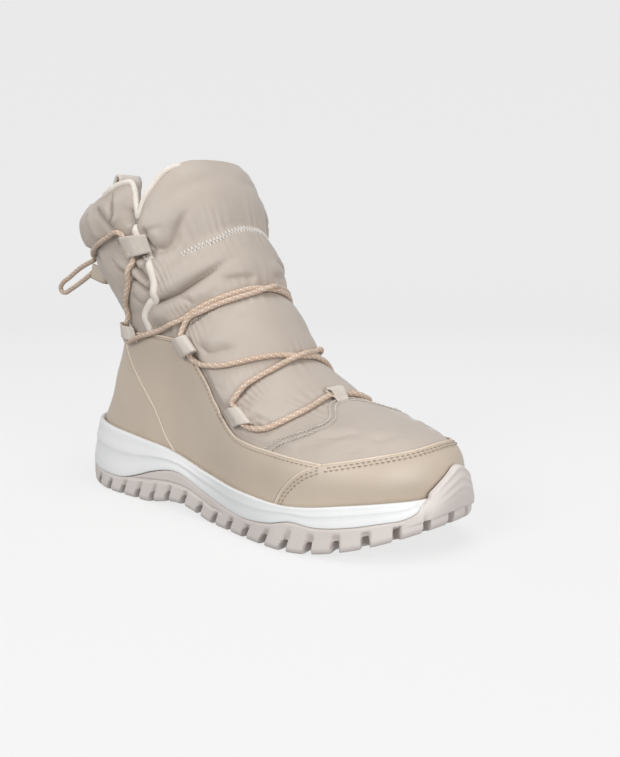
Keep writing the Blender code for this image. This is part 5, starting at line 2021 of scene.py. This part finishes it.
@dataclass
class Lacing:
    """The elastic cord through its webbing keepers, and the slack bight behind the cuff."""

    upper: Upper
    sides: int = 12
    step: float = 1.3
    strap: float = 0.9
    cross_over: float = 1.6
    sink: float = -0.4
    # Routes of the cord: along, level and the height of its centre over the cloth
    throat: Rows = (
        (0.668, 4.75, 2.0), (0.662, 4.45, 1.9), (0.668, 4.18, 1.7), (0.69, 4.1, 1.5), (0.726, 4.31, 1.3),
        (0.77, 4.7, 1.2), (0.819, 5.11, 1.2), (0.868, 5.48, 1.2), (0.917, 5.84, 1.2), (0.958, 6.25, 1.3),
        (0.991, 6.67, 1.6), (1.0, 6.82, 1.8),
    )
    cross_low: Rows = (
        (0.704, 5.3, 2.0), (0.712, 5.62, 1.8), (0.724, 5.9, 1.5), (0.774, 6.48, 1.3), (0.845, 7.21, 1.2),
        (0.907, 7.64, 1.2), (0.959, 7.98, 1.3), (0.985, 8.25, 1.5),
    )
    cross_at: Point = (1.0, 8.46, 2.9)
    cross_high: Rows = (
        (0.99, 8.54, 1.5), (0.968, 8.52, 1.3), (0.928, 8.37, 1.2), (0.857, 8.09, 1.2), (0.8, 7.95, 1.2),
        (0.74, 7.93, 1.3), (0.695, 7.97, 1.6), (0.665, 8.08, 2.2), (0.65, 8.3, 2.8), (0.648, 8.65, 3.0),
    )
    double_low: Rows = (
        (0.65, 9.0, 2.8), (0.655, 9.31, 2.2), (0.681, 9.59, 1.6), (0.736, 9.94, 1.3), (0.807, 10.17, 1.2),
        (0.891, 10.52, 1.2), (0.961, 10.84, 1.3), (0.986, 10.97, 1.4),
    )
    double_at: Point = (1.0, 11.08, 2.9)
    double_high: Rows = (
        (0.986, 11.14, 1.4), (0.951, 11.01, 1.3), (0.877, 10.71, 1.2), (0.784, 10.28, 1.2),
        (0.697, 9.89, 1.2), (0.625, 9.7, 1.3), (0.555, 9.53, 1.8), (0.47, 9.36, 2.8), (0.378, 9.18, 3.5),
        (0.29, 8.9, 3.6), (0.23, 8.66, 3.7), (0.206, 8.75, 3.8), (0.212, 9.1, 3.7),
    )
    rise: Rows = (
        (0.24, 9.62, 3.0), (0.262, 9.85, 2.2), (0.283, 10.15, 1.6), (0.31, 10.58, 1.3), (0.39, 11.14, 1.2),
        (0.465, 11.55, 1.2), (0.54, 12.0, 1.3), (0.58, 12.28, 1.6), (0.592, 12.5, 2.0), (0.598, 12.7, 2.1),
    )
    collar: Rows = (
        (0.604, 12.8, 2.1), (0.605, 13.0, 2.0), (0.588, 13.12, 1.7), (0.547, 13.18, 1.4), (0.51, 13.14, 1.3),
        (0.43, 13.06, 1.2), (0.34, 12.98, 1.2), (0.27, 12.88, 1.2), (0.19, 12.74, 1.2), (0.11, 12.7, 1.2),
        (0.05, 12.7, 1.2), (0.012, 12.7, 1.2),
    )
    collar_back: Point = (0.0, 12.7, 1.2)
    bight: Rows = (
        (11.5, -24.0, 149.5), (-4.5, -24.5, 144.0), (-18.2, -24.5, 137.5), (-29.5, -24.0, 132.0),
        (-31.1, -23.8, 130.4), (-31.2, -23.5, 128.3), (-29.6, -23.2, 126.8), (-27.4, -23.0, 126.6),
        (-19.0, -23.0, 129.3), (-8.5, -23.0, 133.5), (1.5, -23.0, 138.0), (12.5, -23.0, 143.5),
    )
    # Keepers: corners of the sewn end and of the folded end as along and level, and the sewn end's height
    keepers: tuple[tuple[str, Rows, Rows, float], ...] = (
        ("lower", ((0.609, 3.9), (0.642, 5.24)), ((0.688, 4.42), (0.726, 5.58)), 0.7),
        ("middle", ((0.603, 8.18), (0.591, 9.16)), ((0.707, 8.7), (0.683, 9.33)), 2.6),
        ("rear", ((0.32, 8.8), (0.32, 9.5)), ((0.19, 8.95), (0.215, 9.72)), 2.6),
        ("collar", ((0.728, 12.58), (0.756, 13.22)), ((0.57, 12.36), (0.606, 12.96)), 2.4),
    )
    # A keeper's section: share of the way from its sewn end to its fold, and height over the cloth
    section: Rows = (
        (0.0, 0.0), (0.2, 1.2), (0.45, 3.3), (0.7, 4.3), (0.9, 4.0), (1.0, 2.4), (0.92, 1.0), (0.7, 0.6),
        (0.3, 0.5),
    )
    # How far the far end of a keeper settles, and the throat's keeper: half width, levels and height
    settle: float = 0.6
    throat_half: float = 5.5
    throat_levels: Span = (6.42, 7.0)
    throat_height: float = 0.5

    def route(self, rows: Rows, side: Side) -> tuple[Array, Array]:
        """A route of the cord on one side.

        Args:
            rows: Its along, level and height over the cloth.
            side: The side.

        Returns:
            The route's points, and the way out from the boot at each.
        """
        last = self.upper.last
        along, level, lift = np.array(rows).T
        around = last.around_at(along) * side.value
        height = np.maximum(self.upper.relief(around, level)[0], self.sink)
        return last.skin(around, level, height + lift), last.normal(around, level)

    def lay(self, name: str, points: Array, outs: Array, *stands_for: str) -> Piece:
        """Lays a round cord.

        Args:
            name: The piece's name.
            points: The points that it runs through.
            outs: The way out from the boot at each.
            stands_for: The model's nodes that it replaces.

        Returns:
            The piece.
        """
        thick = 2 * self.upper.cord_radius
        line = spline(points, self.step)
        ways = unit(read(outs, np.linspace(0, 1, len(line))))
        self.lines.append((line[::2], ways[::2]))
        return add_piece(name, sweep(line, ways, thick, thick, self.sides), CORD, *stands_for)

    def build(self) -> None:
        """Makes the runs of cord and the keepers, and lets the cord press into the cloth."""
        self.lines: list[tuple[Array, Array]] = []
        half = self.route(self.throat, Side.LATERAL)
        other = self.route(self.throat[:-1], Side.MEDIAL)
        joined = [np.concatenate([half[i], other[i][::-1]]) for i in range(2)]
        self.lay("cord_throat", *joined, "lace_throat")
        for name, low, middle, high in (
            ("cross", self.cross_low, self.cross_at, self.cross_high),
            ("double", self.double_low, self.double_at, self.double_high),
        ):
            for side, far in ((Side.LATERAL, Side.MEDIAL), (Side.MEDIAL, Side.LATERAL)):
                point = (middle[0], middle[1], middle[2] + self.cross_over * side.value)
                parts = [self.route(low, side), self.route((point,), side), self.route(high, far)]
                joined = [np.concatenate([part[i] for part in parts]) for i in range(2)]
                nodes = (f"lace_{name}",) if side is Side.LATERAL else ()
                self.lay(f"cord_{name}_{side.label}", *joined, *nodes)
        for side in Side:
            label = side.label
            self.lay(f"cord_side_{label}", *self.route(self.rise, side), f"lace_side_{label}")
        half = self.route(self.collar, Side.LATERAL)
        back = self.route((self.collar_back,), Side.LATERAL)
        other = self.route(self.collar, Side.MEDIAL)
        joined = [np.concatenate([half[i], back[i], other[i][::-1]]) for i in range(2)]
        self.lay("cord_collar", *joined, "lace_collar")
        self.build_keepers()
        self.upper.cords = list(self.lines)

    def build_bight(self, tab: Piece) -> None:
        """Makes the free bight of cord.

        Args:
            tab: The tab on it; not used.
        """
        points = np.array(self.bight)
        outs = np.tile((0.0, -1.0, 0.0), (len(points), 1))
        piece = self.lay("cord_bight", points, outs, "lace_bight")

    def build_keepers(self) -> None:
        """Makes the folded webbing keepers on both sides and the one at the throat."""
        last = self.upper.last
        for name, foot, fold, height in self.keepers:
            for side in Side:
                corners = np.array((foot, fold))
                corners[..., 0] = last.around_at(corners[..., 0]) * side.value
                self.keeper(f"keeper_{name}_{side.label}", corners, height)
        around = np.linspace(-0.2, 0.2, 81)
        wide = last.point(around, self.throat[-1][1])[:, 1]
        ends = wide[len(around) // 2] + self.throat_half * np.array((-1, 1))
        reach = np.interp(ends, wide[::-1], around[::-1])
        corners = np.array([[(turn, level) for turn in reach] for level in self.throat_levels])
        self.keeper("keeper_throat", corners, self.throat_height)

    def keeper(self, name: str, corners: Array, height: float) -> None:
        """A webbing strap folded round the cord, with its end sewn down.

        Args:
            name: The node that it stands for.
            corners: Places around and levels of its sewn end's two corners and of its fold's two corners.
            height: How high over the cloth the sewn end lies.
        """
        section = spline(np.array(self.section), 0.1)
        flat = corners.reshape(-1, 2).T
        held = self.upper.skin(*flat).reshape(2, 2, 3)
        outs = self.upper.last.normal(*flat).reshape(2, 2, 3)

        def place(across: Array, up: Array) -> Array:
            """Points of the strap's outer face, stretched between its corners.

            Args:
                across: Shares across it.
                up: Shares up it.

            Returns:
                Points, a row each.
            """
            way, lift = read(section, up).T
            share = across[None, :, None]
            spans = [part[:, :1] + (part[:, 1:] - part[:, :1]) * share for part in (held, outs)]
            at, out = (span[0] + (span[1] - span[0]) * way[:, None] for span in spans)
            return at + unit(out) * (lift + height * (1 - self.settle * way))[:, None]

        bm = lay_grid(columns=10, rows=44, place=place)
        stretch_uv(bm, across=0.018, up=0.03)
        bmesh.ops.recalc_face_normals(bm, faces=bm.faces)
        thicken(add_piece(name + "_strap", bm, WEBBING, name), self.strap)


@dataclass
class Trim:
    """The front panel's bindings, the pull loop and the folded tab on the bight."""

    upper: Upper
    binding_wide: float = 5.0
    binding_high: float = 3.6
    binding_lift: float = 0.2
    binding_ahead: float = 0.01
    # How deep the binding lies under the collar keeper, and over how many levels
    tuck: float = 2.4
    tuck_reach: float = 0.34
    loop_wide: float = 18.0
    loop_thick: float = 1.6
    # The pull loop's profile, as x and z
    loop: Rows = (
        (4.0, 159.0), (0.2, 162.0), (-0.8, 169.0), (-0.2, 174.0), (2.6, 180.0), (7.4, 187.5), (11.6, 196.0),
        (14.0, 203.0), (16.0, 205.5), (17.6, 203.5), (16.8, 197.0), (15.6, 189.0), (16.4, 181.0),
    )
    # The loop's middle, how much it bends round the cuff, and the heights between which it straightens
    loop_y: float = 2.2
    loop_bend: float = 0.02
    loop_free: Span = (180.0, 196.0)
    # The tab's middle, its size, how far its near end drops and its leather's thickness
    tab_at: Point = (17.8, -23.0, 140.2)
    tab_size: Point = (15.0, 6.0, 10.0)
    tab_tilt: float = np.radians(15.0)
    tab_thick: float = 1.1
    tab_bend: Span = (0.4, 0.6)

    def build(self) -> Piece:
        """Makes the bindings, the pull loop and the tab.

        Returns:
            The tab.
        """
        last = self.upper.last
        edge = [(along + self.binding_ahead, level) for along, level in self.upper.panel_edge]
        for side in Side:
            around, level = last.trace(edge, side, step=0.15).T
            under = np.exp(-(((level - self.upper.cinch_at[1]) / self.tuck_reach) ** 4))
            line = self.upper.skin(around, level, self.binding_lift - self.tuck * under)
            line = spline(line[::3], step=1.4)
            outs = unit(read(last.normal(around, level), np.linspace(0, 1, len(line))))
            label = side.label
            bm = sweep(line, outs, self.binding_wide, self.binding_high, sides=12)
            add_piece(f"binding_{label}_pile", bm, BINDING, f"panel_binding_{label}")
        profile = spline(np.array(self.loop), 0.8)

        def strap(length: Array, across: Array) -> Array:
            """Points of the pull loop's outer face.

            Args:
                length: Shares along it.
                across: Shares across it.

            Returns:
                Points, a row each.
            """
            x, z = read(profile, length).T
            y = self.loop_y + (across - 0.5) * self.loop_wide
            start, stop = self.loop_free
            x = x + self.loop_bend * y**2 * (1 - ease((z - start) / (stop - start)))
            return np.stack([x, y, z], axis=-1)

        bm = lay_grid(columns=90, rows=8, place=strap)
        stretch_uv(bm, across=0.08, up=0.02)
        bmesh.ops.reverse_faces(bm, faces=bm.faces)
        thicken(add_piece("pull_loop_leather", bm, LOOP, "pull_loop"), self.loop_thick)
        return self.build_tab()

    def build_tab(self) -> Piece:
        """Makes the tab as a strip folded over the cord.

        Returns:
            The tab.
        """
        wide, deep, high = self.tab_size
        radius = deep / 2 - 0.1

        def fold(length: Array, across: Array) -> Array:
            """Points of the strip's outer face, down one leaf, round the fold and up the other.

            Args:
                length: Shares along it.
                across: Shares across it.

            Returns:
                Points, a row each.
            """
            low, high_end = self.tab_bend
            turn = np.interp(length, self.tab_bend, (0, np.pi))
            rise = np.interp(length, (0, low, high_end, 1), (1, 0, 0, 1))
            x = wide / 2 - rise * (wide - radius) - radius + radius * np.sin(turn)
            z = (across - 0.5) * high
            sine, cosine = np.sin(self.tab_tilt), np.cos(self.tab_tilt)
            tilted = [x * cosine + z * sine, -radius * np.cos(turn), z * cosine - x * sine]
            return np.stack(tilted, axis=-1) + self.tab_at

        bm = lay_grid(columns=40, rows=6, place=fold)
        bmesh.ops.recalc_face_normals(bm, faces=bm.faces)
        return thicken(add_piece("cord_tab_leather", bm, LEATHER, "cord_tab"), self.tab_thick)


# The studio


@dataclass
class Studio:
    """A pale round floor that turns up into a backdrop, soft lights and the camera, in metres."""

    floor_radius: float = 2.6
    turn_radius: float = 1.0
    wall_top: float = 2.4
    floor_colour: str = "7C7C7C"
    floor_glow: float = 0.72
    world: float = 0.32
    eye: Point = (0.364, -0.3595, 0.148)
    tilt: float = 82.2
    heading: float = 41.6
    lens: float = 40.42
    sensor: float = 36.0
    # Each light: name, place, size, watts
    lights: tuple[tuple[str, Point, float, float], ...] = (
        ("key", (0.1, -1.6, 0.95), 0.9, 14.0),
        ("top", (0.15, 0.0, 1.9), 1.2, 11.0),
        ("fill", (1.6, -0.55, 0.45), 1.0, 14.0),
    )
    aim: Point = (0.0, 0.0, 0.08)

    def build(self) -> None:
        """Makes the floor, the lights, the sky and the camera."""
        self.build_floor()
        for name, place, size, power in self.lights:
            lamp = bpy.data.lights.new(name, "AREA")
            lamp.shape = "DISK"
            lamp.size = size
            lamp.energy = power
            light = bpy.data.objects.new(name, lamp)
            light.location = place
            light.rotation_euler = (Vector(self.aim) - Vector(place)).to_track_quat("-Z", "Y").to_euler()
            bpy.context.scene.collection.objects.link(light)
        sky = bpy.data.worlds.new("studio")
        sky.use_nodes = True
        sky.node_tree.nodes["Background"].inputs[0].default_value = (1.0, 1.0, 1.0, 1.0)
        sky.node_tree.nodes["Background"].inputs[1].default_value = self.world
        bpy.context.scene.world = sky
        bpy.context.scene.view_settings.view_transform = "Standard"
        lens = bpy.data.cameras.new("camera")
        lens.lens = self.lens
        lens.sensor_width = self.sensor
        lens.clip_start = 0.01
        camera = bpy.data.objects.new("camera", lens)
        camera.location = self.eye
        camera.rotation_euler = (math.radians(self.tilt), 0.0, math.radians(self.heading))
        bpy.context.scene.collection.objects.link(camera)
        bpy.context.scene.camera = camera

    def build_floor(self) -> None:
        """Spins the floor's profile into a shallow bowl."""
        bm = bmesh.new()
        flat = self.floor_radius - self.turn_radius
        arc = [
            (flat + self.turn_radius * math.sin(t), self.turn_radius * (1 - math.cos(t)))
            for t in np.linspace(0, math.pi / 2, 13)
        ]
        profile = [(0.0, 0.0), *arc, (self.floor_radius, self.wall_top)]
        verts = [bm.verts.new((x, 0.0, z)) for x, z in profile]
        edges = [bm.edges.new(pair) for pair in zip(verts[:-1], verts[1:])]
        bmesh.ops.spin(bm, geom=[*verts, *edges], cent=(0, 0, 0), axis=(0, 0, 1), angle=2 * math.pi, steps=96,
                       use_merge=True)
        bmesh.ops.remove_doubles(bm, verts=bm.verts, dist=1e-5)
        bmesh.ops.recalc_face_normals(bm, faces=bm.faces)
        mesh = bpy.data.meshes.new("floor")
        bm.to_mesh(mesh)
        bm.free()
        mesh.shade_smooth()
        floor = bpy.data.objects.new("floor", mesh)
        tree = Tree("pale_floor")
        values = {
            "Base Color": linear(self.floor_colour),
            "Roughness": 0.9,
            "Specular IOR Level": 0.0,
            "Emission Color": (1.0, 1.0, 1.0, 1.0),
            "Emission Strength": self.floor_glow,
        }
        tree.put(tree.shader, values)
        mesh.materials.append(tree.material)
        floor.visible_diffuse = False
        bpy.context.scene.collection.objects.link(floor)


def main() -> None:
    """Builds the studio, then the boot's sub-assemblies in order."""
    logging.basicConfig(level=logging.INFO, format="%(name)s: %(message)s")
    Studio().build()
    last = Last()
    sole = SoleForm(last)
    upper = Upper(last)
    lacing = Lacing(upper)
    lacing.build()
    lacing.build_bight(Trim(upper).build())
    upper.build()
    Leather(upper, sole).build()
    Seams(upper).build()
    Midsole(last, sole).build()
    Outsole(last, sole).build()
    Insole(last).build()


if __name__ == "__main__":
    main()
